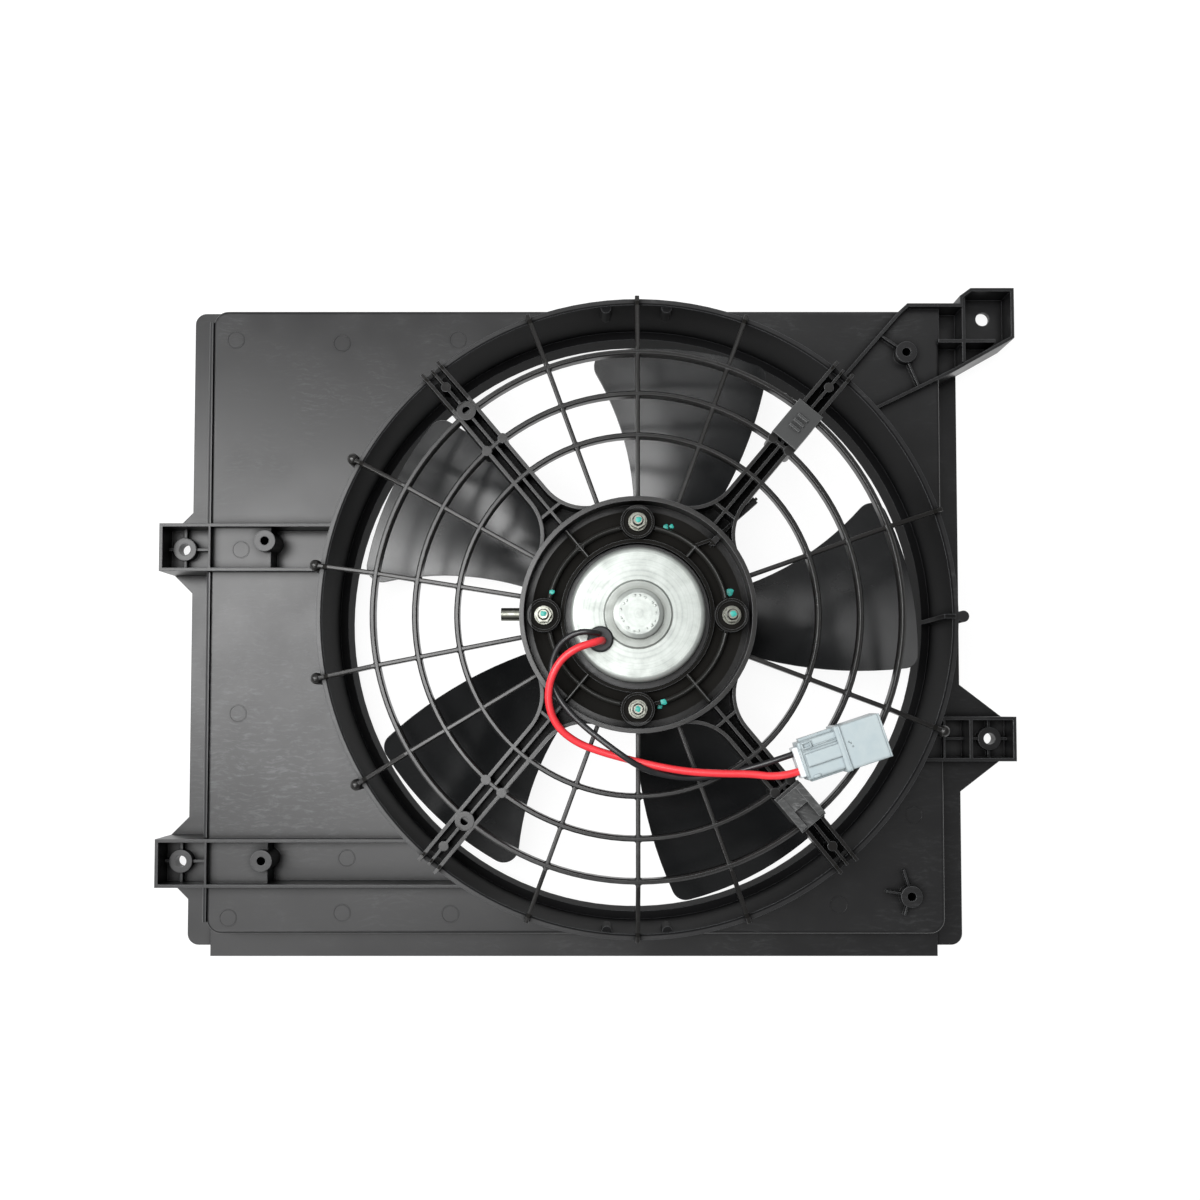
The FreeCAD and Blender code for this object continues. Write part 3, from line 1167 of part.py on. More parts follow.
def plug_place(body):
    body.Placement = Placement(Vector(0, 0, 0), Rotation(Vector(0, 0, 1), number("plug_turn")))
    for axis, name in (("x", "plug_x"), ("y", "plug_y"), ("z", "plug_z")):
        set_formula(body, f"Placement.Base.{axis}", name)
    return body


def plug_box(body, name, start, length, half, rise):
    """A block across the plug's axis, from start along it."""
    face = Profile(body, f"{name}_outline", "YZ_Plane", level=start)
    face.rounded(f"0 - ({half})", half, f"0 - ({rise})", rise, "plug_round")
    return pad(body, name, face, length)


def make_plug():
    body = new_body("connector_housing")
    plug_box(body, "plug_rear", "0", "rear_length", "rear_half", "rear_rise")
    plug_box(body, "plug_collar", "rear_length - 1", "collar_length", "collar_half", "collar_rise")
    plug_box(body, "plug_front", "rear_length", "front_length + collar_length - 1", "front_half", "front_rise")
    end = "rear_length + collar_length - 1 + front_length"
    rail = Profile(body, "plug_rail_outline", "YZ_Plane", level="2")
    rail.box("rear_half - 1", "rear_half + 1.6", "-rear_rise / 3", "rear_rise / 3")
    rail.box("-rear_half - 1.6", "-rear_half + 1", "-rear_rise / 3", "rear_rise / 3")
    rail.box("-rear_half / 3", "rear_half / 3", "rear_rise - 1", "rear_rise + 1.4")
    pad(body, "plug_rails", rail, "rear_length - 3")
    socket = Profile(body, "socket_outline", "YZ_Plane", level=end)
    half = "front_half - socket_wall"
    rise = "front_rise - socket_wall"
    socket.rounded(f"0 - ({half})", half, f"0 - ({rise})", rise, "plug_round")
    pocket(body, "socket", socket, "socket_depth", upward=False)
    seals = Profile(body, "seal_bore_outline", "YZ_Plane")
    slots = Profile(body, "contact_slot_outline", "YZ_Plane")
    for side in ("", "-"):
        seals.circle(f"{side}lead_pitch / 2", "0", "seal_radius + fit")
        slots.box(f"{side}lead_pitch / 2 - contact_half - fit", f"{side}lead_pitch / 2 + contact_half + fit",
                  "-contact_thick / 2 - fit", "contact_thick / 2 + fit")
    pocket(body, "seal_bores", seals, "seal_length")
    body.Tip = pocket(body, "contact_slots", slots, end)
    return plug_place(body)


def make_keeper():
    body = new_body("connector_keeper")
    plate = Profile(body, "keeper_outline", "YZ_Plane", level="-keeper_thick")
    plate.rounded("-rear_half + 2", "rear_half - 2", "-rear_rise + 3", "rear_rise - 3", "plug_round")
    pad(body, "keeper_plate", plate, "keeper_thick")
    holes = Profile(body, "keeper_hole_outline", "YZ_Plane", level="-keeper_thick")
    holes.circle("-lead_pitch / 2", "0", "red_radius + seat")
    holes.circle("lead_pitch / 2", "0", "black_radius + seat")
    body.Tip = pocket(body, "keeper_holes", holes, "keeper_thick")
    return plug_place(body)


def plug_pair(label, body):
    """The same solid on both ways of the plug, as one group."""
    copies = []
    for side in (-1, 1):
        copy = doc.addObject("App::Link", f"{label}_{side + 1}")
        copy.LinkedObject = body
        copy.LinkTransform = False
        turn = Rotation(Vector(0, 0, 1), number("plug_turn"))
        base = Vector(number("plug_x"), number("plug_y"), number("plug_z"))
        across = turn.multVec(Vector(0, side * number("lead_pitch / 2"), 0))
        copy.Placement = Placement(base + across, turn)
        copies.append(copy)
    group = doc.addObject("Part::Compound", label)
    group.Links = copies
    group.Label = label
    return group


def make_seals():
    body = new_body("wire_seal")
    disc = Profile(body, "seal_outline", "YZ_Plane").circle("0", "0", "seal_radius")
    pad(body, "seal_pad", disc, "seal_length - 1")
    return plug_pair("wire_seals", body)


def make_contacts():
    body = new_body("contact_blade")
    bar = Profile(body, "contact_outline", "YZ_Plane", level="seal_length + 1")
    bar.box("-contact_half", "contact_half", "-contact_thick / 2", "contact_thick / 2")
    pad(body, "contact_pad", bar, "contact_length")
    return plug_pair("contact_blades", body)


parts = [
    make_shroud(),
    make_fan_guard(),
    make_clip("upper_arm_clip", ARM_ANGLES[0], False),
    make_clip("lower_arm_clip", ARM_ANGLES[3], True),
    make_can(),
    make_front_cover(),
    make_bracket(),
    make_studs(),
    make_nuts(),
    make_tube(),
    make_grommet(),
    make_bearing("front_bearing", "front_pocket_low + step_rise"),
    make_bearing("rear_bearing", "pocket_end - can_wall - bearing_width"),
    make_magnets(),
    make_brush_holder(),
    make_brush("upper_brush", 90),
    make_brush("lower_brush", 270),
    make_spring("upper_brush_spring", 90),
    make_spring("lower_brush_spring", 270),
    make_shaft(),
    make_core(),
    make_windings(),
    make_commutator(),
    make_washer("front_thrust_washer", "hub_boss_high", "washer_radius", "washer_thick"),
    make_washer("rear_thrust_washer", "commutator_high", "washer_radius", "washer_thick"),
    make_fan(),
    make_washer("fan_washer", "hub_boss_low - fan_washer_thick", "fan_washer", "fan_washer_thick"),
    make_fan_nut(),
    bent_tube("red_lead", RED_ROUTE, number("red_radius")),
    bent_tube("black_lead", BLACK_ROUTE, number("black_radius")),
    make_plug(),
    make_keeper(),
    make_seals(),
    make_contacts(),
]
doc.recompute()

for thing in doc.Objects:
    if "Invalid" in thing.State or "Error" in thing.State:
        raise RuntimeError(f"{thing.Label} failed: {thing.State}")
for thing in parts:
    if thing.Shape.isNull() or not thing.Shape.isValid():
        raise RuntimeError(f"{thing.Label} has no valid shape")
os.makedirs("parts", exist_ok=True)
for thing in parts:
    thing.Shape.exportStep(f"parts/{thing.Label}.step")
    box = thing.Shape.BoundBox
    corners = [round(value, 1) for value in (box.XMin, box.YMin, box.ZMin, box.XMax, box.YMax, box.ZMax)]
    print(thing.Label, len(thing.Shape.Solids), "solids", round(thing.Shape.Volume), "mm3", corners)
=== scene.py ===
"""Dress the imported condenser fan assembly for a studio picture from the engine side.

The fan axis is +Z through the origin and the rim that seats on the condenser lies in Z = 0. Names
that end in _mm hold millimetres, and every other length is in metres unless its line says so.
"""
from __future__ import annotations

import logging
import math
from dataclasses import dataclass, replace
from enum import Enum
from typing import Any, Iterable, Sequence
import bmesh
import bpy
from mathutils import Matrix, Vector, noise


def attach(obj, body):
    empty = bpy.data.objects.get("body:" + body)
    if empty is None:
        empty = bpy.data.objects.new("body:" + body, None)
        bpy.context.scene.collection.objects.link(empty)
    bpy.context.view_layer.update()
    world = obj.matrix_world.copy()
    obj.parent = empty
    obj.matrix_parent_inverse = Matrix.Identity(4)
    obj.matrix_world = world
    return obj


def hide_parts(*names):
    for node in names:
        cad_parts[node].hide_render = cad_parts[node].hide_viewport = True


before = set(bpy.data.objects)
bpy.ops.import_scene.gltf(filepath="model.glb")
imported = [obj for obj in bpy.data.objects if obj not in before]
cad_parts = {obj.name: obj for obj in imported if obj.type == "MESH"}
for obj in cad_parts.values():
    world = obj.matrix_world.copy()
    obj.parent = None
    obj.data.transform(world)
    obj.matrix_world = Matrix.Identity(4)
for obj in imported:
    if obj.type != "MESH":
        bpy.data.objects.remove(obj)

log = logging.getLogger("condenser_fan")

MM = 0.001
FRAME_BODY = "frame"
GUARD_TOP = 82.0 * MM
PANEL_TOP = 25.0 * MM
MERGE_DISTANCE = 0.001 * MM
CREASE_ANGLE = math.radians(38)
AXIS = (0, 0, 1)
WHITE = (1, 1, 1, 1)
# stands a flat outline on edge, so that it can be spun about the axis
ON_EDGE = Matrix.Rotation(math.radians(90), 4, "X")

Point = tuple[float, float, float]
Span = tuple[float, float]
Socket = bpy.types.NodeSocket
Material = bpy.types.Material


def linear(hex_colour: str) -> tuple[float, float, float, float]:
    """Turn an sRGB hex colour into the linear colour that Blender's sockets take.

    Args:
        hex_colour: six hex digits, such as "2A2B2D".

    Returns:
        Linear red, green and blue, and an alpha of one.
    """
    # the sRGB standard's own curve
    knee, slope, lift, power = 0.04045, 12.92, 0.055, 2.4
    channels = []
    for start in (0, 2, 4):
        value = int(hex_colour[start:start + 2], 16) / 255
        curved = ((value + lift) / (1 + lift)) ** power
        channels.append(value / slope if value <= knee else curved)
    return (*channels, 1.0)


class Finish:
    """A node tree under construction, with one way to add a node to it."""

    def __init__(self, name: str) -> None:
        """Start an empty material.

        Args:
            name: the finish's common name.
        """
        self.material = bpy.data.materials.new(name)
        self.material.use_nodes = True
        self.tree = self.material.node_tree
        self.tree.nodes.clear()
        self.output = self.add("ShaderNodeOutputMaterial")

    def add(self, kind: str, settings: dict[str, Any] | None = None,
            inputs: dict[str | int, Any] | None = None) -> bpy.types.Node:
        """Add a node with its settings, and link or set its inputs.

        Args:
            kind: the node's type in Blender.
            settings: attributes of the node, by name.
            inputs: values or output sockets of other nodes, by input name or number.

        Returns:
            The new node.
        """
        node = self.tree.nodes.new(kind)
        for name, value in (settings or {}).items():
            setattr(node, name, value)
        for key, value in (inputs or {}).items():
            if isinstance(value, Socket):
                self.tree.links.new(value, node.inputs[key])
            else:
                node.inputs[key].default_value = value
        return node

    def place(self) -> Socket:
        """Return the position on the object, in metres."""
        return self.add("ShaderNodeTexCoord").outputs["Object"]

    def noise(self, size_mm: float, detail: float, rough: float = 0.55,
              where: Socket | None = None) -> Socket:
        """Add a noise whose blotches are about a given size.

        Args:
            size_mm: the real size of a blotch.
            detail: octaves of the noise.
            rough: how strong the finer octaves are.
            where: the coordinates, or None for the object's own.

        Returns:
            The noise's value.
        """
        inputs = {"Vector": where or self.place(), "Scale": 1 / (size_mm * MM), "Detail": detail,
                  "Roughness": rough}
        return self.add("ShaderNodeTexNoise", {}, inputs).outputs["Fac"]

    def ramp(self, value: Socket, source: Span, start: float, stop: float) -> Socket:
        """Map a value from one range to another, clamped.

        Args:
            value: the value to map.
            source: the values that give start and stop.
            start: the result at the first of them.
            stop: the result at the second.

        Returns:
            The mapped value.
        """
        low, high = source
        inputs = {"Value": value, "From Min": low, "From Max": high, "To Min": start,
                  "To Max": stop}
        return self.add("ShaderNodeMapRange", {}, inputs).outputs["Result"]

    def uneven(self, cloud: Socket, roughness: float, less: float, more: float) -> Socket:
        """Let the roughness wander with the broad unevenness of a surface.

        Args:
            cloud: the unevenness.
            roughness: the usual roughness.
            less: how far it falls.
            more: how far it rises.

        Returns:
            The roughness.
        """
        return self.ramp(cloud, (0.3, 0.7), roughness - less, roughness + more)

    def blend(self, share: Socket, first: Any, second: Any) -> Socket:
        """Mix two colours.

        Args:
            share: how much of the second colour shows.
            first: a colour or a colour socket.
            second: a colour or a colour socket.

        Returns:
            The mixed colour.
        """
        node = self.add("ShaderNodeMix", {"data_type": "RGBA"}, {0: share, 6: first, 7: second})
        return node.outputs[2]

    def math(self, operation: str, first: Any, second: Any) -> Socket:
        """Combine two values.

        Args:
            operation: the name of Blender's math operation.
            first: a value or a socket.
            second: a value or a socket.

        Returns:
            The result.
        """
        inputs = {0: first, 1: second}
        return self.add("ShaderNodeMath", {"operation": operation}, inputs).outputs[0]

    def bump(self, height: Socket, depth_mm: float, over: Socket | None = None) -> Socket:
        """Turn a height into a normal.

        Args:
            height: the height, from 0 to 1.
            depth_mm: the real height of 1.
            over: a normal that this one adds to.

        Returns:
            The normal.
        """
        inputs: dict[str | int, Any] = {"Height": height, "Distance": depth_mm * MM,
                                        "Strength": 1.0}
        if over:
            inputs["Normal"] = over
        return self.add("ShaderNodeBump", {}, inputs).outputs["Normal"]

    def crevices(self, reach_mm: float, share: float) -> Socket:
        """Find the inner corners, from how little of the room they see, for painted shade and
        masks.

        Args:
            reach_mm: how far from a corner they still show.
            share: the result in the deepest corner.

        Returns:
            A value that falls to zero on open surfaces.
        """
        light = self.add("ShaderNodeAmbientOcclusion", {"samples": 6}, {"Distance": reach_mm * MM})
        deep_to_open = (0.3, 0.92)
        return self.ramp(light.outputs["AO"], deep_to_open, share, 0.0)

    def axis_radius(self) -> Socket:
        """Return the distance from the fan axis, in metres."""
        flat = self.add("ShaderNodeVectorMath", {"operation": "MULTIPLY"},
                        {0: self.place(), 1: (1, 1, 0)})
        length = self.add("ShaderNodeVectorMath", {"operation": "LENGTH"}, {0: flat.outputs[0]})
        return length.outputs["Value"]

    def band(self, low_mm: float, high_mm: float, soft_mm: float = 0.4) -> Socket:
        """Pick out a ring about the fan axis.

        Args:
            low_mm: its inner radius.
            high_mm: its outer radius.
            soft_mm: how wide its edges fade.

        Returns:
            One on the ring and zero away from it.
        """
        radius = self.axis_radius()
        low, high, soft = low_mm * MM, high_mm * MM, soft_mm * MM
        return self.math("MULTIPLY", self.ramp(radius, (low - soft, low), 0.0, 1.0),
                         self.ramp(radius, (high, high + soft), 1.0, 0.0))

    def soft_edges(self, reach_mm: float) -> Socket:
        """Return a normal that rounds the edges off over a real width."""
        return self.add("ShaderNodeBevel", {"samples": 4}, {"Radius": reach_mm * MM}).outputs[0]

    def painted_edge_highlights(self, rounded: Socket, share: float) -> Socket:
        """Find the outer edges, whose colour is lightened there as a painted highlight.

        Args:
            rounded: the normal that rounds the edges off.
            share: the result on a sharp edge.

        Returns:
            A value that falls to zero away from the edges and in corners.
        """
        edge_to_face, corner_mm = (0.78, 0.98), 1.5
        true = self.add("ShaderNodeNewGeometry").outputs["Normal"]
        turned = self.add("ShaderNodeVectorMath", {"operation": "DOT_PRODUCT"},
                          {0: rounded, 1: true})
        edge = self.ramp(turned.outputs["Value"], edge_to_face, share, 0.0)
        clear = self.math("SUBTRACT", 1.0, self.crevices(corner_mm, 1.0))
        return self.math("MULTIPLY", edge, clear)

    def close(self, **sockets: Any) -> Material:
        """Finish the material with one Principled shader.

        Args:
            **sockets: the shader's inputs, with underscores for spaces.

        Returns:
            The finished material.
        """
        inputs = {name.replace("_", " "): value for name, value in sockets.items()}
        shader = self.add("ShaderNodeBsdfPrincipled", {}, inputs)
        self.tree.links.new(shader.outputs[0], self.output.inputs[0])
        return self.material


@dataclass(frozen=True)
class MouldedPolypropylene:
    """Glass-filled polypropylene: a low satin sheen, flow marks, handling scuffs, painted shade in
    hollows and painted highlights on edges.
    """

    name: str
    colour: str
    # the scuffs' own colour, also used to lighten the edges as a painted highlight
    scuff_and_highlight_colour: str
    roughness: float
    scuffs: float
    edge_mm: float = 0.5
    # how strongly the outer edges take the scuff colour, a painted highlight
    edge_highlight_share: float = 0.5
    # painted shade: how far from an inner corner the colour darkens, and its darkest colour
    painted_shade_mm: float = 6.0
    painted_shade_colour: str = "040404"
    patch_at_mm: Point | None = None
    patch_reach_mm: float = 95.0
    matt_bands_mm: Sequence[Span] = ()
    # the bands' colour; the default, darker than the panel, is painted shade on the venturi's
    # inner wall
    matt_and_shade_colour: str = "0D0D0E"
    matt_roughness: float = 0.72
    matt_shine: float = 0.25
    cloud_mm: float = 38.0
    grain_mm: float = 0.9
    grain_depth_mm: float = 0.006
    swirl_mm: float = 26.0
    swirl_share: float = 0.012
    scratch_mm: float = 1.9
    scratch_turn: float = 0.3
    scratch_stretch: float = 0.2
    rubbed_rougher: float = 0.25
    # the shader's specular level on open surfaces and in the deepest corner, lowered there as
    # painted shade
    shine: Span = (0.5, 0.04)

    def places(self, finish: Finish, cloud: Socket) -> Socket:
        """Find where hands and boxes have touched the moulding.

        Args:
            finish: the material under construction.
            cloud: the moulding's broad unevenness.

        Returns:
            One where it was touched most.
        """
        places = finish.ramp(cloud, (0.45, 0.72), 0.0, 1.0)
        if not self.patch_at_mm:
            return places
        away = finish.add("ShaderNodeVectorMath", {"operation": "DISTANCE"},
                          {0: finish.place(), 1: tuple(value * MM for value in self.patch_at_mm)})
        reach, core, elsewhere = self.patch_reach_mm * MM, 0.25, 0.35
        patch = finish.ramp(away.outputs["Value"], (core * reach, reach), 1.0, 0.0)
        return finish.math("MAXIMUM", finish.math("MULTIPLY", places, elsewhere), patch)

    def scratches(self, finish: Finish) -> Socket:
        """Draw fine lines that run one way and wander a little.

        Args:
            finish: the material under construction.

        Returns:
            The lines, up to the moulding's share of scuffs.
        """
        swirl = finish.add("ShaderNodeTexNoise", {},
                           {"Vector": finish.place(), "Scale": 1 / (self.swirl_mm * MM)})
        bent = finish.add("ShaderNodeMix", {"data_type": "VECTOR"},
                          {0: self.swirl_share, 4: finish.place(), 5: swirl.outputs["Color"]})
        stretched = finish.add("ShaderNodeMapping", {}, {
            "Vector": bent.outputs[1], "Rotation": (0, 0, self.scratch_turn),
            "Scale": (self.scratch_stretch, 1.0, 1.0)})
        lines = finish.noise(self.scratch_mm, detail=6.0, rough=0.75, where=stretched.outputs[0])
        return finish.ramp(lines, (0.5, 0.72), 0.0, self.scuffs)

    def material(self) -> Material:
        """Build the finish."""
        finish = Finish(self.name)
        cloud = finish.noise(self.cloud_mm, detail=4.0)
        rubbed = finish.math("MULTIPLY", self.places(finish, cloud), self.scratches(finish))
        colour = finish.blend(rubbed, linear(self.colour), linear(self.scuff_and_highlight_colour))
        rough = finish.math("ADD", finish.uneven(cloud, self.roughness, 0.04, 0.05),
                            finish.math("MULTIPLY", rubbed, self.rubbed_rougher))
        edges = finish.soft_edges(self.edge_mm)
        grain = finish.noise(self.grain_mm, detail=2.0)
        # painted shade: inner corners darker and less shiny
        painted_shade = finish.crevices(self.painted_shade_mm, 1.0)
        shine = finish.ramp(painted_shade, (0.0, 1.0), *self.shine)
        colour = finish.blend(painted_shade, colour, linear(self.painted_shade_colour))
        # rougher, less shiny bands; a band darker than the moulding is painted shade
        if self.matt_bands_mm:
            matt: Any = 0.0
            for low, high in self.matt_bands_mm:
                matt = finish.math("MAXIMUM", matt, finish.band(low, high))
            colour = finish.blend(matt, colour, linear(self.matt_and_shade_colour))
            matt_rough = finish.math("MULTIPLY", matt, self.matt_roughness)
            rough = finish.math("MAXIMUM", rough, matt_rough)
            matt_shine = finish.ramp(matt, (0.0, 1.0), 1.0, self.matt_shine)
            shine = finish.math("MULTIPLY", shine, matt_shine)
        # painted highlight: outer edges lightened towards the scuff colour
        painted_highlight = finish.painted_edge_highlights(edges, self.edge_highlight_share)
        colour = finish.blend(painted_highlight, colour, linear(self.scuff_and_highlight_colour))
        normal = finish.bump(grain, self.grain_depth_mm, over=edges)
        return finish.close(Base_Color=colour, Roughness=rough, IOR=1.49, Normal=normal,
                            Specular_IOR_Level=shine)


@dataclass(frozen=True)
class ZincPlate:
    """Sheet steel, deep drawn and zinc plated: pale grey, hazy, with rings from the tool."""

    name: str
    colour: str
    dull_colour: str
    roughness: float = 0.38
    metallic: float = 0.55
    cloud_mm: float = 9.0
    mottle: float = 0.7
    ring_mm: float = 1.6
    ring_share: float = 0.35
    ring_depth_mm: float = 0.012
    # painted shade round the boss and in corners: its reach and darkest colour
    corner_mm: float = 7.0
    corner_shade_colour: str = "5A5C58"
    # painted reflection of the dark room in the dish round the boss: its radii, soft edge, share
    # and colour
    dish_mm: Span = (14.0, 18.0)
    dish_soft_mm: float = 1.5
    dish_reflection_share: float = 0.5
    dish_reflection_colour: str = "70736E"
    edge_mm: float = 0.5

    def material(self) -> Material:
        """Build the finish."""
        finish = Finish(self.name)
        drawn = finish.add("ShaderNodeTexNoise", {"noise_dimensions": "1D"}, {
            "W": finish.axis_radius(), "Scale": 1 / (self.ring_mm * MM), "Detail": 3.0})
        rings = drawn.outputs["Fac"]
        cloud = finish.noise(self.cloud_mm, detail=5.0, rough=0.65)
        mottle = finish.math("MULTIPLY", finish.ramp(cloud, (0.4, 0.75), 0.0, 1.0), self.mottle)
        share = finish.math("ADD", mottle, finish.ramp(rings, (0.45, 0.7), 0.0, self.ring_share))
        colour = finish.blend(share, linear(self.colour), linear(self.dull_colour))
        # painted shade in the corners and round the boss
        corner_shade = finish.crevices(self.corner_mm, 1.0)
        colour = finish.blend(corner_shade, colour, linear(self.corner_shade_colour))
        # painted dark reflection in the dish round the boss
        ring = finish.band(*self.dish_mm, self.dish_soft_mm)
        dish_reflection = finish.math("MULTIPLY", ring, self.dish_reflection_share)
        colour = finish.blend(dish_reflection, colour, linear(self.dish_reflection_colour))
        rough = finish.uneven(cloud, self.roughness, 0.06, 0.08)
        normal = finish.bump(rings, self.ring_depth_mm, over=finish.soft_edges(self.edge_mm))
        return finish.close(Base_Color=colour, Roughness=rough, Metallic=self.metallic,
                            Normal=normal)


@dataclass(frozen=True)
class PlainFinish:
    """A moulded, extruded or turned surface with a fine grain and slight unevenness."""

    name: str
    colour: str
    deep_colour: str
    roughness: float = 0.35
    metallic: float = 0.0
    ior: float = 1.5
    blotch_mm: float = 4.0
    grain_mm: float = 0.4
    grain_depth_mm: float = 0.003
    edge_mm: float = 0.0
    # painted shade in inner corners: its reach, colour and strength in the deepest corner
    corner_shade_mm: float = 0.0
    corner_shade_tint: str = "2B2B2A"
    corner_shade_share: float = 0.8

    def material(self) -> Material:
        """Build the finish."""
        finish = Finish(self.name)
        cloud = finish.noise(self.blotch_mm, detail=4.0)
        colour = finish.blend(finish.ramp(cloud, (0.35, 0.7), 0.0, 1.0), linear(self.colour),
                              linear(self.deep_colour))
        # painted shade in inner corners
        if self.corner_shade_mm:
            colour = finish.blend(finish.crevices(self.corner_shade_mm, self.corner_shade_share), colour,
                                  linear(self.corner_shade_tint))
        edges = finish.soft_edges(self.edge_mm) if self.edge_mm else None
        grain = finish.noise(self.grain_mm, detail=2.0)
        rough = finish.uneven(cloud, self.roughness, 0.04, 0.06)
        normal = finish.bump(grain, self.grain_depth_mm, over=edges)
        base = {"Metallic": self.metallic} if self.metallic else {"IOR": self.ior}
        return finish.close(Base_Color=colour, Roughness=rough, Normal=normal, **base)


def paint(thing: bpy.types.Object, material: Material) -> None:
    """Give an object one material.

    Args:
        thing: the object.
        material: its finish.
    """
    thing.data.materials.clear()
    thing.data.materials.append(material)


def dress(finish: MouldedPolypropylene | ZincPlate | PlainFinish, *nodes: str) -> Material:
    """Give CAD nodes one shared finish.

    Args:
        finish: what they are made of.
        *nodes: their names.

    Returns:
        The material, for the pieces that go with them.
    """
    material = finish.material()
    for node in nodes:
        paint(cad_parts[node], material)
        log.info("node %s in %s", node, finish.name)
    return material


def placed(name: str, data: bpy.types.ID) -> bpy.types.Object:
    """Put a new object into the scene, at the origin.

    Args:
        name: its name.
        data: its mesh, curve, lamp or camera.

    Returns:
        The object.
    """
    thing = bpy.data.objects.new(name, data)
    bpy.context.scene.collection.objects.link(thing)
    return thing


def piece_from(name: str, mesh: bmesh.types.BMesh, material: Material,
               smooth: bool = True) -> None:
    """Make a piece of a bmesh, in the frame's own coordinates, that rides on the frame.

    Args:
        name: the piece's name.
        mesh: its shape, in metres, freed here.
        material: its finish.
        smooth: whether its faces are shaded smooth.
    """
    bmesh.ops.remove_doubles(mesh, verts=mesh.verts, dist=MERGE_DISTANCE)
    bmesh.ops.recalc_face_normals(mesh, faces=mesh.faces)
    data = bpy.data.meshes.new(name)
    mesh.to_mesh(data)
    mesh.free()
    if smooth:
        data.shade_smooth()
        data.set_sharp_from_angle(angle=CREASE_ANGLE)
    thing = placed(name, data)
    paint(thing, material)
    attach(thing, FRAME_BODY)
    log.info("piece %s with %d faces", name, len(data.polygons))


def about_axis(degrees: float) -> Matrix:
    """Return a turn about the Z axis."""
    return Matrix.Rotation(math.radians(degrees), 4, "Z")


def polar(radius: float, degrees: float, height: float) -> Vector:
    """Return the point at a polar place about the fan axis."""
    turn = math.radians(degrees)
    return Vector((radius * math.cos(turn), radius * math.sin(turn), height))


def whole(verts: Iterable[bmesh.types.BMVert]) -> list[Any]:
    """Gather all that hangs together with some vertices, in a fixed order.

    Args:
        verts: the vertices.

    Returns:
        The vertices with every edge and face on them.
    """
    ring = list(verts)
    edges = dict.fromkeys(edge for vert in ring for edge in vert.link_edges)
    faces = dict.fromkeys(face for vert in ring for face in vert.link_faces)
    return [*ring, *edges, *faces]


def pebble(mesh: bmesh.types.BMesh, spot: Vector, radius: float, rise: float, seed: float) -> None:
    """Add a small uneven blob that lies flat on a surface.

    Args:
        mesh: the mesh that it joins.
        spot: the middle of its underside.
        radius: about how wide it is.
        rise: how high it stands.
        seed: shifts the unevenness, so that no two are alike.
    """
    depth, waviness = 0.45, 1.3
    made = bmesh.ops.create_icosphere(mesh, subdivisions=3, radius=1.0)
    for vert in made["verts"]:
        swell = 1 + depth * noise.noise(vert.co * waviness + Vector((seed, 0, 0)))
        wide = swell * radius
        vert.co = spot + Vector((vert.co.x * wide, vert.co.y * wide, vert.co.z * rise))


def thread(mesh: bmesh.types.BMesh, centre: Vector, radius: float, pitch: float,
           turns: int) -> None:
    """Wind a thread's ridge up a stud.

    Args:
        mesh: the mesh that it joins.
        centre: the middle of the stud where the ridge starts.
        radius: the stud's radius.
        pitch: the rise in one turn.
        turns: how many turns it makes.
    """
    steps, ridge = 20, 0.32 * pitch
    place = Matrix.Translation(centre + Vector((radius, 0, 0))) @ ON_EDGE
    made = bmesh.ops.create_circle(mesh, cap_ends=True, segments=3, radius=ridge, matrix=place)
    bmesh.ops.spin(mesh, geom=whole(made["verts"]), cent=centre, axis=AXIS,
                   dvec=(0, 0, pitch / steps), angle=math.tau * turns, steps=steps * turns)


class Lead(Enum):
    """The two leads of the motor."""

    RED = "red_lead"
    BLACK = "black_lead"


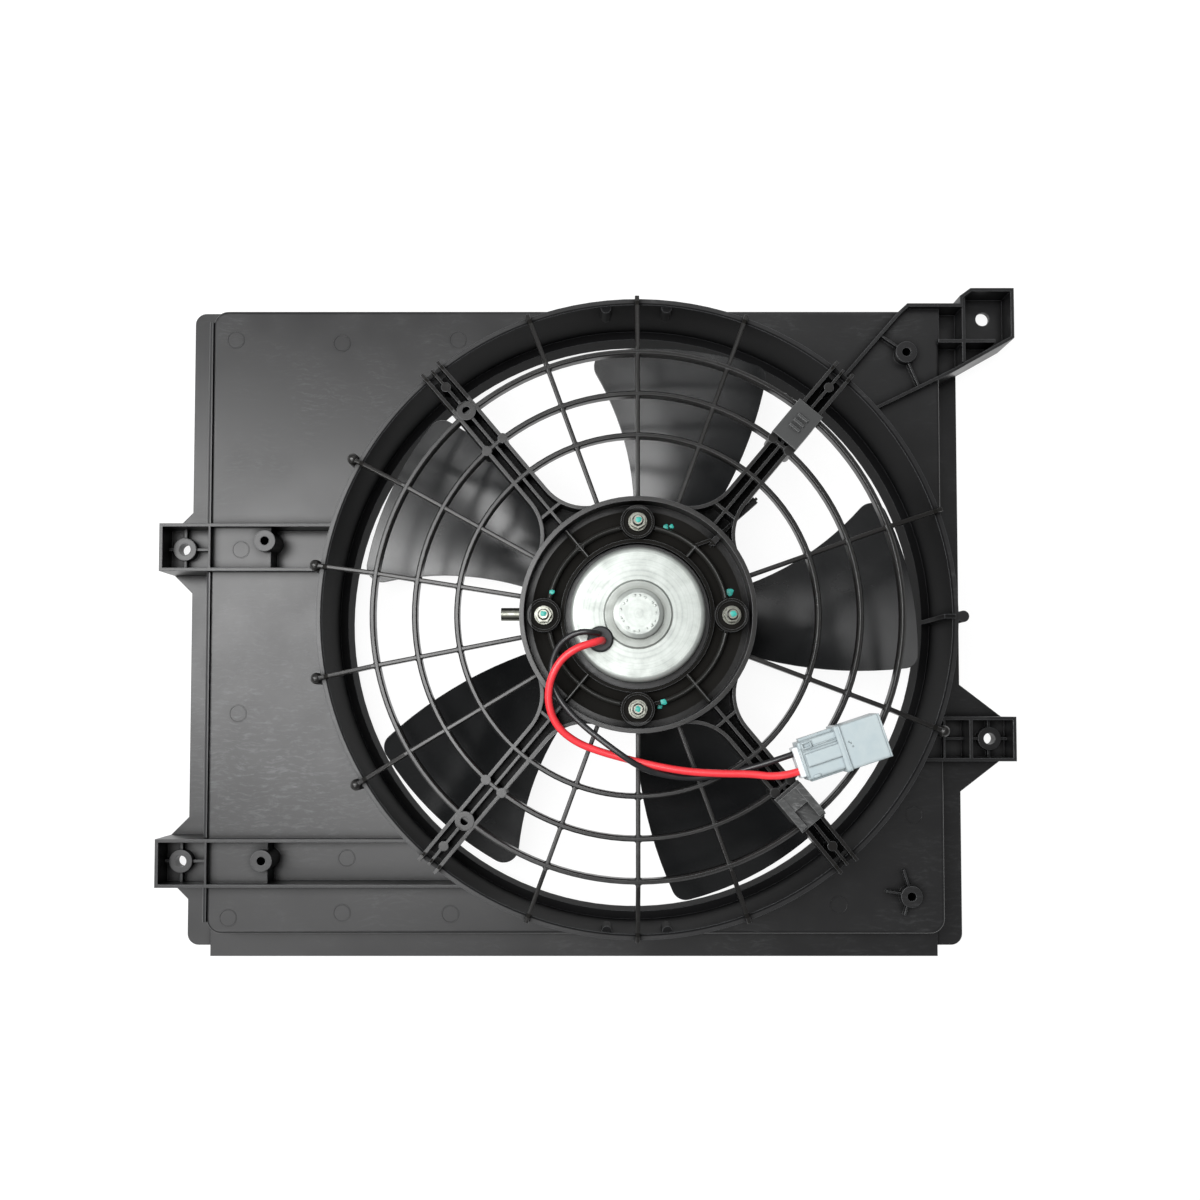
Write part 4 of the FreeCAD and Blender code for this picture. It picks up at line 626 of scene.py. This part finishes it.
@dataclass
class Leads:
    """Two free leads from the grommet to the plug, over the motor ring and the guard."""

    red_radius: float = 2.1 * MM
    black_radius: float = 1.7 * MM
    red_length: float = 214.3 * MM
    black_length: float = 211.9 * MM
    roundness: int = 6
    smoothness: int = 12
    # the routes' control points, in millimetres
    red_route: Sequence[Point] = (
        (-20, -15, 86.4), (-20, -15, 93), (-25.5, -17, 98), (-34, -19.5, 98.5), (-43, -26, 97),
        (-49, -37.5, 95), (-50, -50.5, 92), (-45, -63, 89), (-34.5, -71.5, 87),
        (-21.5, -76.5, 86.2), (-7, -80.5, 86.2), (9.5, -84.5, 87), (27, -87.5, 89),
        (45.5, -88.5, 90), (61, -88.5, 90.8), (73.5, -90, 91.6), (83.55, -88.56, 92.4),
        (90.19, -86.34, 92.4),
    )
    black_route: Sequence[Point] = (
        (-22, -11, 86.4), (-22, -11, 91.5), (-25.5, -11, 95.5), (-31, -10.5, 96),
        (-37.5, -12.5, 94), (-44, -17.5, 91), (-48, -26.5, 88.5), (-48.5, -36.5, 87.7),
        (-45.5, -45, 87.7), (-39, -54, 88.7), (-29.5, -63, 88.7), (-20, -70.5, 90),
        (-10.5, -77.5, 91.2), (0.5, -85, 90), (13, -89.5, 87), (28.5, -91.5, 85.5),
        (44, -90, 85.3), (58.5, -86.5, 86.5), (70, -82.8, 90.6), (80.37, -79.08, 92.4),
        (87.01, -76.86, 92.4),
    )

    def strand(self, lead: Lead, route: Sequence[Point], radius: float,
               material: Material) -> bpy.types.Object:
        """Lay one lead along its route.

        Args:
            lead: which lead it is.
            route: its control points, in millimetres.
            radius: its radius.
            material: its insulation.

        Returns:
            The curve.
        """
        curve = bpy.data.curves.new(f"{lead.value}_insulation", "CURVE")
        curve.dimensions = "3D"
        curve.bevel_depth = radius
        curve.bevel_resolution = self.roundness
        curve.resolution_u = self.smoothness
        curve.use_fill_caps = True
        spline = curve.splines.new("NURBS")
        spline.points.add(len(route) - 1)
        for point, place in zip(spline.points, route):
            point.co = (*(value * MM for value in place), 1.0)
        spline.order_u = 3
        spline.use_endpoint_u = True
        thing = placed(curve.name, curve)
        paint(thing, material)
        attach(thing, FRAME_BODY)
        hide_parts(lead.value)
        log.info("piece %s laid", thing.name)
        return thing

    def build(self) -> None:
        # saturated red with a soft streak of light along it, the only strong colour on the part
        red = PlainFinish("PVC insulation, red", "EC3A42", "D92A33", roughness=0.34,
                          blotch_mm=9.0).material()
        # near black, glossier than the guard that it crosses
        black = PlainFinish("PVC insulation, black", "1B1B1D", "232325", roughness=0.3,
                            blotch_mm=9.0).material()
        red_lead = self.strand(Lead.RED, self.red_route, self.red_radius, red)
        black_lead = self.strand(Lead.BLACK, self.black_route, self.black_radius, black)


@dataclass(frozen=True)
class Block:
    """A small block on the plug's top.

    It runs from its start towards the plug's mouth, with its middle off to one side, and rises
    above the face that carries it.
    """

    start_mm: float
    length_mm: float
    side_mm: float
    width_mm: float
    rise_mm: float


@dataclass
class Plug:
    """The two-way plug at the end of the leads."""

    rear_middle_mm: Point = (88.6, -81.6, 92.4)
    turn: float = 18.5
    rear_top_mm: float = 8.0
    rear_sunk_mm: float = 0.4
    rear_blocks: Sequence[Block] = (
        # the latch loop's sides and ends
        Block(1.6, 5.6, 6.6, 0.9, 1.2), Block(1.6, 5.6, 9.6, 0.9, 1.2),
        Block(1.6, 0.9, 8.1, 3.0, 1.2), Block(6.3, 0.9, 8.1, 3.0, 1.2),
        # the tall and the low guide rail
        Block(7.6, 14.2, 6.7, 0.6, 0.8), Block(0.4, 21.4, 5.1, 0.5, 0.35),
        # the rear lip and the stop at the other side
        Block(0.0, 1.0, -1.0, 16.0, 0.5), Block(3.0, 4.0, -9.4, 1.6, 0.5),
    )
    front_top_mm: float = 9.4
    front_sunk_mm: float = 0.6
    # the collar's bead and the mouth's lip
    front_blocks: Sequence[Block] = (
        Block(23.2, 0.9, 0.0, 25.0, 0.9), Block(46.0, 0.9, 0.0, 24.4, 0.35),
    )
    edge_mm: float = 0.15
    # small crumbs of flash on the front half: along and across the plug
    crumbs_mm: Sequence[Span] = ((27.6, 1.6), (28.0, -0.4), (26.6, 2.6))
    crumb_radius: float = 0.55 * MM
    crumb_rise: float = 0.2 * MM

    def add_block(self, mesh: bmesh.types.BMesh, block: Block, top_mm: float,
                  sunk_mm: float) -> None:
        """Add a small block to the plug's top.

        Args:
            mesh: the mesh that it joins.
            block: its place and size.
            top_mm: the face that carries it, above the plug's middle.
            sunk_mm: how far it reaches down into that face.
        """
        low, high = top_mm - sunk_mm, top_mm + block.rise_mm
        size = Matrix.Diagonal((block.length_mm * MM, block.width_mm * MM, (high - low) * MM, 1))
        middle = (block.start_mm + block.length_mm / 2, block.side_mm, (low + high) / 2)
        shift = Matrix.Translation(Vector(middle) * MM)
        home = Matrix.Translation(Vector(self.rear_middle_mm) * MM)
        place = home @ about_axis(self.turn) @ shift @ size
        bmesh.ops.create_cube(mesh, size=1.0, matrix=place)

    def latch(self, material: Material) -> None:
        """Add the latch loop, its guide rails, the collar's bead, the mouth's lip and crumbs.

        Args:
            material: the housing's nylon.
        """
        mesh = bmesh.new()
        for block in self.rear_blocks:
            self.add_block(mesh, block, self.rear_top_mm, self.rear_sunk_mm)
        for block in self.front_blocks:
            self.add_block(mesh, block, self.front_top_mm, self.front_sunk_mm)
        # the cubes' square corners, and not the flat diagonals
        edges = [edge for edge in mesh.edges if edge.calc_face_angle(0) > 1]
        bmesh.ops.bevel(mesh, geom=edges, offset=self.edge_mm * MM, segments=2, profile=0.5,
                        affect="EDGES", material=-1)
        home = Matrix.Translation(Vector(self.rear_middle_mm) * MM) @ about_axis(self.turn)
        for seed, (start, side) in enumerate(self.crumbs_mm):
            spot = home @ (Vector((start, side, self.front_top_mm)) * MM)
            pebble(mesh, spot, self.crumb_radius, self.crumb_rise, seed)
        piece_from("plug_latch_and_beads", mesh, material)

    def build(self) -> None:
        """Dress the plug's own solids and add what stands on them."""
        # pale cool nylon with dark lines of painted shade in its corners, the lightest thing on
        # the black guard
        nylon = dress(PlainFinish("Nylon, pale blue-grey", "B4BFC1", "AAB7BB", roughness=0.3,
                                  blotch_mm=8.0, edge_mm=1.5, corner_shade_mm=1.6,
                                  corner_shade_tint="59626A", corner_shade_share=0.6), "connector_housing")
        self.latch(nylon)
        # whiter than the housing, so that the keeper reads as a piece of its own, with painted
        # shade in its corners
        dress(PlainFinish("Nylon, natural", "E6EAEC", "DCE2E5", blotch_mm=5.0, edge_mm=0.4,
                          corner_shade_mm=1.2, corner_shade_tint="8E969B"), "connector_keeper")
        # dull blue rubber deep in the plug's rear
        dress(PlainFinish("Silicone rubber seal", "35506E", "2C4560", roughness=0.5), "wire_seals")
        # soft metallic glint inside the plug's mouth
        dress(PlainFinish("Tin-plated brass", "BDBBAF", "A9A79C", roughness=0.3, metallic=1.0),
              "contact_blades")


@dataclass
class ShroudMoulding:
    """The tray, venturi ring, tabs and finger guard."""

    rib_angles: Sequence[float] = (70, 90, 110, 151, 171, 191, 211, 250, 270, 290, 339.4, 19.4)
    ring_radii: Sequence[float] = (101.6 * MM, 125.3 * MM, 149.0 * MM)
    knot_radius: float = 2.7 * MM
    knot_depth: float = 2.2 * MM
    knot_flatness: float = 0.8
    # first angle and sweep of each arc between two studs, and each spoke's angle and outer end
    seat_circle: float = 50.8 * MM
    seat_arcs: Sequence[Span] = ((11.5, 67), (101.5, 67), (191.5, 67), (285.0, 63.5))
    seat_arc_half: float = 1.5 * MM
    seat_spokes: Sequence[Span] = (
        (50, 51.5 * MM), (130, 63.4 * MM), (230, 63.4 * MM), (310, 63.4 * MM),
    )
    seat_spoke_start: float = 43.5 * MM
    seat_spoke_half: float = 1.2 * MM
    seat_level: float = 73.4 * MM
    seat_half_height: float = 2.8 * MM
    tray_left: float = -260.0 * MM
    shoulder_width: float = 3.0 * MM
    shoulder_depth: float = 12.0 * MM
    shoulder_round: float = 0.94
    shoulder_runs: Sequence[Span] = (
        (-182 * MM, -161 * MM), (-131 * MM, 31 * MM), (61 * MM, 186 * MM),
    )
    mark_radius: float = 5.5 * MM
    mark_rise: float = 0.16 * MM
    mark_lip: float = 0.45 * MM
    mark_slope: float = 0.2 * MM
    mark_dip: float = 0.8
    mark_places_mm: Sequence[Point] = (
        (-246, 174.8, 25), (-180.5, 172.7, 25), (-108.9, 174.8, 25), (-241.4, 44.8, 25),
        (-242, -55.6, 25), (-178, -145, 12), (-246.6, -179.3, 25), (-177.6, -176.3, 25),
        (-112, -176.9, 25), (169.5, -117.2, 25), (123.5, -171.5, 25),
    )

    def ejector_marks(self, material: Material) -> None:
        """Round witness marks of the mould's ejector pins, with a raised lip.

        Args:
            material: the moulding's finish.
        """
        mesh = bmesh.new()
        for place in self.mark_places_mm:
            spot = Matrix.Translation(Vector(place) * MM)
            made = bmesh.ops.create_cone(mesh, cap_ends=True, segments=40, matrix=spot,
                                         radius1=self.mark_radius, depth=2 * self.mark_rise,
                                         radius2=self.mark_radius - self.mark_rise)
            faces = {face for vert in made["verts"] for face in vert.link_faces}
            top = max(faces, key=lambda face: face.calc_center_median().z)
            bmesh.ops.inset_region(mesh, faces=[top], thickness=self.mark_lip, depth=0.0)
            bmesh.ops.inset_region(mesh, faces=[top], thickness=self.mark_slope,
                                   depth=-self.mark_dip * self.mark_rise)
        piece_from("ejector_pin_marks", mesh, material, smooth=False)

    def shoulder(self, material: Material) -> None:
        """Round shoulder where the tray's left wall meets the panel, between the tabs.

        Args:
            material: the moulding's finish.
        """
        mesh = bmesh.new()
        near = 0.1
        left = self.tray_left - (1 - near) * self.shoulder_width
        top = PANEL_TOP - near * self.shoulder_depth
        for low, high in self.shoulder_runs:
            size = Matrix.Diagonal((self.shoulder_width, high - low, self.shoulder_depth, 1))
            spot = Matrix.Translation((self.tray_left - self.shoulder_width / 2, (low + high) / 2,
                                       PANEL_TOP - self.shoulder_depth / 2))
            made = bmesh.ops.create_cube(mesh, size=1.0, matrix=spot @ size)
            edges = dict.fromkeys(edge for vert in made["verts"] for edge in vert.link_edges)
            outer = [edge for edge in edges
                     if all(end.co.x < left and end.co.z > top for end in edge.verts)]
            bmesh.ops.bevel(mesh, geom=outer, offset=self.shoulder_round * self.shoulder_width,
                            segments=8, profile=0.5, affect="EDGES", material=-1)
        piece_from("tray_shoulder", mesh, material)

    def seat_crowns(self, material: Material) -> None:
        """Round crowns on the ribs of the motor's seat: arcs between studs, spokes across them.

        Args:
            material: the moulding's finish.
        """
        mesh = bmesh.new()
        for start, sweep in self.seat_arcs:
            spot = Matrix.Translation((self.seat_circle, 0, self.seat_level))
            oval = Matrix.Diagonal((self.seat_arc_half, self.seat_half_height, 1, 1))
            made = bmesh.ops.create_circle(mesh, cap_ends=True, segments=14, radius=1.0,
                                           matrix=about_axis(start) @ spot @ ON_EDGE @ oval)
            bmesh.ops.spin(mesh, geom=whole(made["verts"]), cent=(0, 0, 0), axis=AXIS,
                           angle=math.radians(sweep), steps=24)
        near = self.seat_spoke_start
        along = Matrix.Rotation(math.radians(90), 4, "Y")
        for turn, far in self.seat_spokes:
            spot = Matrix.Translation(((near + far) / 2, 0, self.seat_level))
            oval = Matrix.Diagonal((self.seat_half_height, self.seat_spoke_half, far - near, 1))
            bmesh.ops.create_cone(mesh, cap_ends=True, segments=14, radius1=1.0, radius2=1.0,
                                  depth=1.0, matrix=about_axis(turn) @ spot @ along @ oval)
        piece_from("motor_seat_crowns", mesh, material)

    def knots(self, material: Material) -> None:
        """Round swellings where the guard's ribs cross its rings.

        Args:
            material: the moulding's finish.
        """
        mesh = bmesh.new()
        flat = Matrix.Diagonal((1, 1, self.knot_flatness, 1))
        for angle in self.rib_angles:
            for radius in self.ring_radii:
                spot = Matrix.Translation(polar(radius, angle, GUARD_TOP - self.knot_depth))
                bmesh.ops.create_uvsphere(mesh, u_segments=14, v_segments=8,
                                          radius=self.knot_radius, matrix=spot @ flat)
        piece_from("guard_crossing_knots", mesh, material)

    def build(self) -> None:
        """Dress the shroud and the guard, and add their small forms."""
        # satin black that turns grey under the left box, with pale wisps where it was handled,
        # painted shade in its hollows and on the venturi's inner wall, and painted highlights on
        # its edges
        panel = MouldedPolypropylene("Polypropylene panel, moulded satin", "161617", "77797B",
                                     roughness=0.36, scuffs=0.5, edge_mm=0.8,
                                     patch_at_mm=(-215.0, -62.0, 25.0),
                                     matt_bands_mm=((160.0, 181.0),))
        dress(panel, "shroud")
        # its round top catches the light, and it is a shade lighter as a painted highlight, so
        # that it draws a thin line down the panel's left side
        self.shoulder(replace(panel, name="Polypropylene panel, rounded shoulder",
                              colour="222324", scuffs=0.1, patch_at_mm=None, painted_shade_mm=0.6,
                              edge_mm=0.3, matt_bands_mm=()).material())
        # the panel's own black, with edges sharp enough to draw the marks' thin circles
        self.ejector_marks(replace(panel, name="Polypropylene panel, ejector pin marks",
                                   edge_mm=0.05).material())
        # browner and glossier, with thin painted highlights on its rounded ribs, painted shade in
        # its channels and a matt motor seat
        guard = MouldedPolypropylene("Polypropylene guard, moulded satin", "151413", "76787A",
                                     roughness=0.3, scuffs=0.1, edge_highlight_share=0.9, painted_shade_mm=10.0,
                                     matt_bands_mm=((30.0, 60.0), (178.8, 181.0)),
                                     matt_and_shade_colour="151412")
        self.knots(dress(guard, "fan_guard"))
        # a shade lighter than the seat's floor, a painted highlight on the ribs' round crowns so
        # that they stand out in relief
        self.seat_crowns(replace(guard, name="Polypropylene guard, motor seat ribs",
                                 colour="242422", roughness=0.36, painted_shade_mm=1.2, edge_mm=0.2,
                                 matt_bands_mm=()).material())


@dataclass
class Clips:
    """Two worn clips over the right-hand arms."""

    def build(self) -> None:
        """Dress both clips."""
        # greyer than the arms that the clips sit on, rubbed pale on top, with painted highlights
        # on the edges and painted shade in the corners
        dress(MouldedPolypropylene("Nylon clip, worn", "3A3B3B", "9A9B9B", roughness=0.4,
                                   scuffs=0.7, edge_mm=0.6, edge_highlight_share=0.8),
              "upper_arm_clip", "lower_arm_clip")


@dataclass
class FanMoulding:
    """The bladed fan, with the washer and nut that hold it."""

    def build(self) -> None:
        """Dress the fan and its fastening."""
        # the glossiest black, with broad bright sheens that follow each blade's twist, and painted
        # shade in corners and painted highlights on edges
        dress(MouldedPolypropylene("Polypropylene fan, moulded glossy", "131415", "4A4B4C",
                                   roughness=0.23, scuffs=0.12), "fan")
        # small bright points behind the hub
        dress(PlainFinish("Bright zinc plate", "C9CBC6", "B4B6B0", roughness=0.25, metallic=1.0),
              "fan_washer", "fan_nut")


@dataclass
class Motor:
    """The can motor: case, bracket, fasteners, and the works inside."""

    stud_angles: Sequence[float] = (0, 90, 180, 270)
    stud_circle: float = 53.0 * MM
    stud_radius: float = 2.5 * MM
    thread_low: float = 82.0 * MM
    thread_pitch: float = 0.8 * MM
    thread_turns: int = 3
    grease_circle: float = 2.8 * MM
    grease_radius: float = 0.4 * MM
    stakes: int = 17
    stake_circle: float = 9.8 * MM
    stake_level: float = 89.95 * MM
    stake_rise: float = 0.16 * MM
    dab_rise: float = 0.3 * MM
    # middle and radius of each dab, in millimetres
    dabs_mm: Sequence[tuple[float, float, float, float]] = (
        (16.5, 50.9, 71, 1.5), (19.6, 51.4, 71, 1.2), (-48.5, 13.3, 76, 1.4),
        (52.6, 13.8, 71, 2.1), (14.5, -48.9, 76.1, 1.6), (12.8, -51.7, 71, 1.3),
        (0.3, 53.1, 84.6, 1.6), (-52.9, 0.3, 84.6, 1.6), (53.1, 0.2, 84.6, 1.7),
        (-0.1, -52.9, 84.6, 1.6),
    )

    def threads(self, material: Material) -> None:
        """Wind a thread round the ends of the studs.

        Args:
            material: the studs' finish.
        """
        mesh = bmesh.new()
        for turn in self.stud_angles:
            thread(mesh, polar(self.stud_circle, turn, self.thread_low), self.stud_radius,
                   self.thread_pitch, self.thread_turns)
        piece_from("stud_threads", mesh, material)

    def grease_rings(self) -> None:
        """Leave a dark ring of grease where each stud comes through its nut."""
        # near black, so that the stud's end stands out from the nut
        dark = PlainFinish("Thread grease, dark", "161512", "0E0D0C", roughness=0.3,
                           blotch_mm=1.0).material()
        mesh = bmesh.new()
        for turn in self.stud_angles:
            centre = polar(self.stud_circle, turn, self.thread_low)
            place = Matrix.Translation(centre + Vector((self.grease_circle, 0, 0))) @ ON_EDGE
            made = bmesh.ops.create_circle(mesh, segments=8, radius=self.grease_radius,
                                           matrix=place)
            bmesh.ops.spin(mesh, geom=whole(made["verts"]), cent=centre, axis=AXIS,
                           angle=math.tau, steps=32, use_merge=True)
        piece_from("thread_grease", mesh, dark)

    def stake_marks(self, material: Material) -> None:
        """Leave the uneven ring of dents that the bearing's staking punch made in the can's end.

        Args:
            material: the can's finish.
        """
        mesh = bmesh.new()
        for index in range(self.stakes):
            # the three sines only make angle, radius and size uneven
            angle = 360 * index / self.stakes + 5 * math.sin(2.3 * index)
            radius = self.stake_circle + 0.35 * MM * math.sin(1.7 * index)
            size = (0.75 + 0.25 * math.sin(3.1 * index)) * MM
            pebble(mesh, polar(radius, angle, self.stake_level), size, self.stake_rise, index)
        piece_from("bearing_stake_marks", mesh, material)

    def paint_dabs(self) -> None:
        """Dab marking paint on the motor ring and on the ends of the studs."""
        # small vivid touches of turquoise by each nut
        turquoise = PlainFinish("Turquoise marking paint", "2FA79A", "23877E", roughness=0.4,
                                blotch_mm=1.5, grain_depth_mm=0.02).material()
        mesh = bmesh.new()
        for index, (*middle, radius) in enumerate(self.dabs_mm):
            pebble(mesh, Vector(middle) * MM, radius * MM, self.dab_rise, 1.9 * index)
        piece_from("marking_paint_dabs", mesh, turquoise)

    def works(self) -> None:
        """Dress what is inside the motor."""
        # clean ground steel
        dress(PlainFinish("Ground bearing steel", "BCBEC0", "ABADB0", roughness=0.22,
                          metallic=1.0),
              "front_bearing", "rear_bearing", "rotor_shaft", "upper_brush_spring",
              "lower_brush_spring")
        # dull charcoal ceramic
        dress(PlainFinish("Sintered ferrite", "3A3A3C", "2F2F31", roughness=0.6), "field_magnets")
        # brown board with no gloss
        dress(PlainFinish("Phenolic laminate", "7A5A35", "6B4D2C", roughness=0.5),
              "brush_holder", "front_thrust_washer", "rear_thrust_washer")
        # dark grey with a hint of copper
        dress(PlainFinish("Copper-graphite brush", "3B3634", "2E2A29", roughness=0.45),
              "upper_brush", "lower_brush")
        # mid-grey steel between the copper
        dress(PlainFinish("Silicon steel laminations", "77797B", "66686A", roughness=0.4,
                          metallic=1.0), "armature_core")
        # deep glossy orange-brown
        dress(PlainFinish("Enamelled copper wire", "A8502A", "8A3D1E", roughness=0.3,
                          metallic=0.8), "armature_windings")
        # bright turned copper, paler than the windings
        dress(PlainFinish("Turned copper", "C07A4E", "A9653D", roughness=0.3, metallic=1.0),
              "commutator")

    def build(self) -> None:
        """Dress the motor's solids and add its small forms."""
        # pale hazy metal, almost white, with drawing rings, painted shade round the boss and in
        # corners, and a darker dish round the boss that is a painted reflection of the dark room
        zinc = dress(ZincPlate("Zinc-plated deep-drawn steel", "AEB3AF", "8F9490"),
                     "motor_can", "motor_front_cover")
        # black sheet that closes the seat behind the can, quieter than the guard
        dress(PlainFinish("Steel sheet, black dip paint", "161617", "1E1E1F", roughness=0.36),
              "mounting_bracket")
        # warm grey metal with black rings of shade between flange, hexagon and stud
        bright = dress(PlainFinish("Bright zinc fastener plate", "8E8F87", "74756D",
                                   roughness=0.34, metallic=1.0, edge_mm=0.25, corner_shade_mm=2.2,
                                   corner_shade_tint="1E1D1A", corner_shade_share=1.0),
                       "flange_nuts", "mounting_studs", "breather_tube")
        self.threads(bright)
        self.grease_rings()
        self.stake_marks(zinc)
        self.paint_dabs()
        # dull dark collar where the leads come out
        dress(PlainFinish("EPDM rubber grommet", "2A2B2D", "232426", roughness=0.55),
              "lead_grommet")
        self.works()


@dataclass(frozen=True)
class Lamp:
    """One soft box, with its sides in metres and its power in watts."""

    name: str
    place: Point
    aim: Point
    sides: Span
    power: float

    def build(self) -> None:
        """Hang the lamp and point it."""
        data = bpy.data.lights.new(self.name, "AREA")
        data.shape = "RECTANGLE"
        data.size, data.size_y = self.sides
        data.energy = self.power
        lamp = placed(self.name, data)
        lamp.location = self.place
        towards = Vector(self.aim) - Vector(self.place)
        lamp.rotation_euler = towards.to_track_quat("-Z", "Y").to_euler()


@dataclass
class Studio:
    """Pale floor, soft boxes and the camera straight above."""

    camera_place: Point = (-0.0213, -0.0538, 0.7004)
    tilt: float = 2.1
    sensor_width_mm: float = 36.0
    focal_share: float = 1107 / 1200
    shift_y: float = 70 / 1200
    floor_half: float = 3.0
    floor_height: float = -0.2 * MM
    # the paper that lights the part from below, and how the camera and gloss see it
    paper_colour: str = "E6E6E6"
    paper_glow: float = 0.92
    paper_lit: float = 0.14
    room_light: float = 0.27
    backdrop_light: float = 1.0
    lamps: Sequence[Lamp] = (
        Lamp("left soft box", (-0.66, 0.13, 1.22), (-0.2, 0.05, 0.0), (0.5, 1.4), 23.0),
        Lamp("lower left soft box", (-0.74, -0.76, 1.22), (-0.08, 0.05, 0.0), (0.3, 0.34), 4.5),
        Lamp("blade soft box", (-0.3, -0.19, 1.22), (-0.1, 0.03, 0.0), (0.24, 0.2), 0.8),
        Lamp("upper soft box", (0.2, 1.1, 1.2), (0.0, 0.0, 0.0), (1.0, 0.5), 3.0),
    )

    def floor(self) -> None:
        """Lay a pale floor that keeps a soft shadow."""
        mesh = bmesh.new()
        bmesh.ops.create_grid(mesh, x_segments=1, y_segments=1, size=self.floor_half,
                              matrix=Matrix.Translation((0, 0, self.floor_height)))
        data = bpy.data.meshes.new("studio_floor")
        mesh.to_mesh(data)
        mesh.free()
        thing = placed("studio_floor", data)
        finish = Finish("Pale studio paper")
        rays = finish.add("ShaderNodeLightPath").outputs
        seen = finish.math("MAXIMUM", rays["Is Camera Ray"],
                           finish.math("MAXIMUM", rays["Is Glossy Ray"],
                                       rays["Is Transmission Ray"]))
        paper = finish.add("ShaderNodeBsdfDiffuse", {}, {"Color": linear(self.paper_colour)})
        glow = finish.add("ShaderNodeEmission", {}, {"Color": WHITE, "Strength": self.paper_glow})
        grey = (self.paper_lit, self.paper_lit, self.paper_lit, 1)
        dim = finish.add("ShaderNodeBsdfDiffuse", {}, {"Color": grey})
        lit = finish.add("ShaderNodeAddShader", {}, {0: glow.outputs[0], 1: dim.outputs[0]})
        mixed = finish.add("ShaderNodeMixShader", {},
                           {0: seen, 1: paper.outputs[0], 2: lit.outputs[0]})
        finish.tree.links.new(mixed.outputs[0], finish.output.inputs[0])
        paint(thing, finish.material)

    def world(self) -> None:
        """Light the room evenly, with a white backdrop for the camera."""
        world = bpy.data.worlds.new("studio")
        bpy.context.scene.world = world
        world.use_nodes = True
        tree = world.node_tree
        background = tree.nodes["Background"]
        background.inputs["Color"].default_value = WHITE
        rays = tree.nodes.new("ShaderNodeLightPath")
        strength = tree.nodes.new("ShaderNodeMapRange")
        tree.links.new(rays.outputs["Is Camera Ray"], strength.inputs["Value"])
        strength.inputs["To Min"].default_value = self.room_light
        strength.inputs["To Max"].default_value = self.backdrop_light
        tree.links.new(strength.outputs["Result"], background.inputs["Strength"])

    def camera(self) -> None:
        """Set the camera of the photograph."""
        data = bpy.data.cameras.new("camera")
        data.sensor_width = self.sensor_width_mm
        data.lens = self.focal_share * self.sensor_width_mm
        data.shift_y = self.shift_y
        camera = placed("camera", data)
        camera.location = self.camera_place
        camera.rotation_euler = (math.radians(self.tilt), 0, 0)
        bpy.context.scene.camera = camera

    def build(self) -> None:
        """Set up the floor, the light and the camera."""
        self.floor()
        self.world()
        for lamp in self.lamps:
            lamp.build()
        self.camera()
        bpy.context.scene.view_settings.view_transform = "Standard"


def main() -> None:
    """Dress every part of the assembly in the studio."""
    logging.basicConfig(level=logging.INFO, format="%(name)s: %(message)s")
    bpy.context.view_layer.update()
    for part in (Studio(), Leads(), Plug(), ShroudMoulding(), Clips(), FanMoulding(), Motor()):
        part.build()
        log.info("%s done", type(part).__name__)


if __name__ == "__main__":
    main()
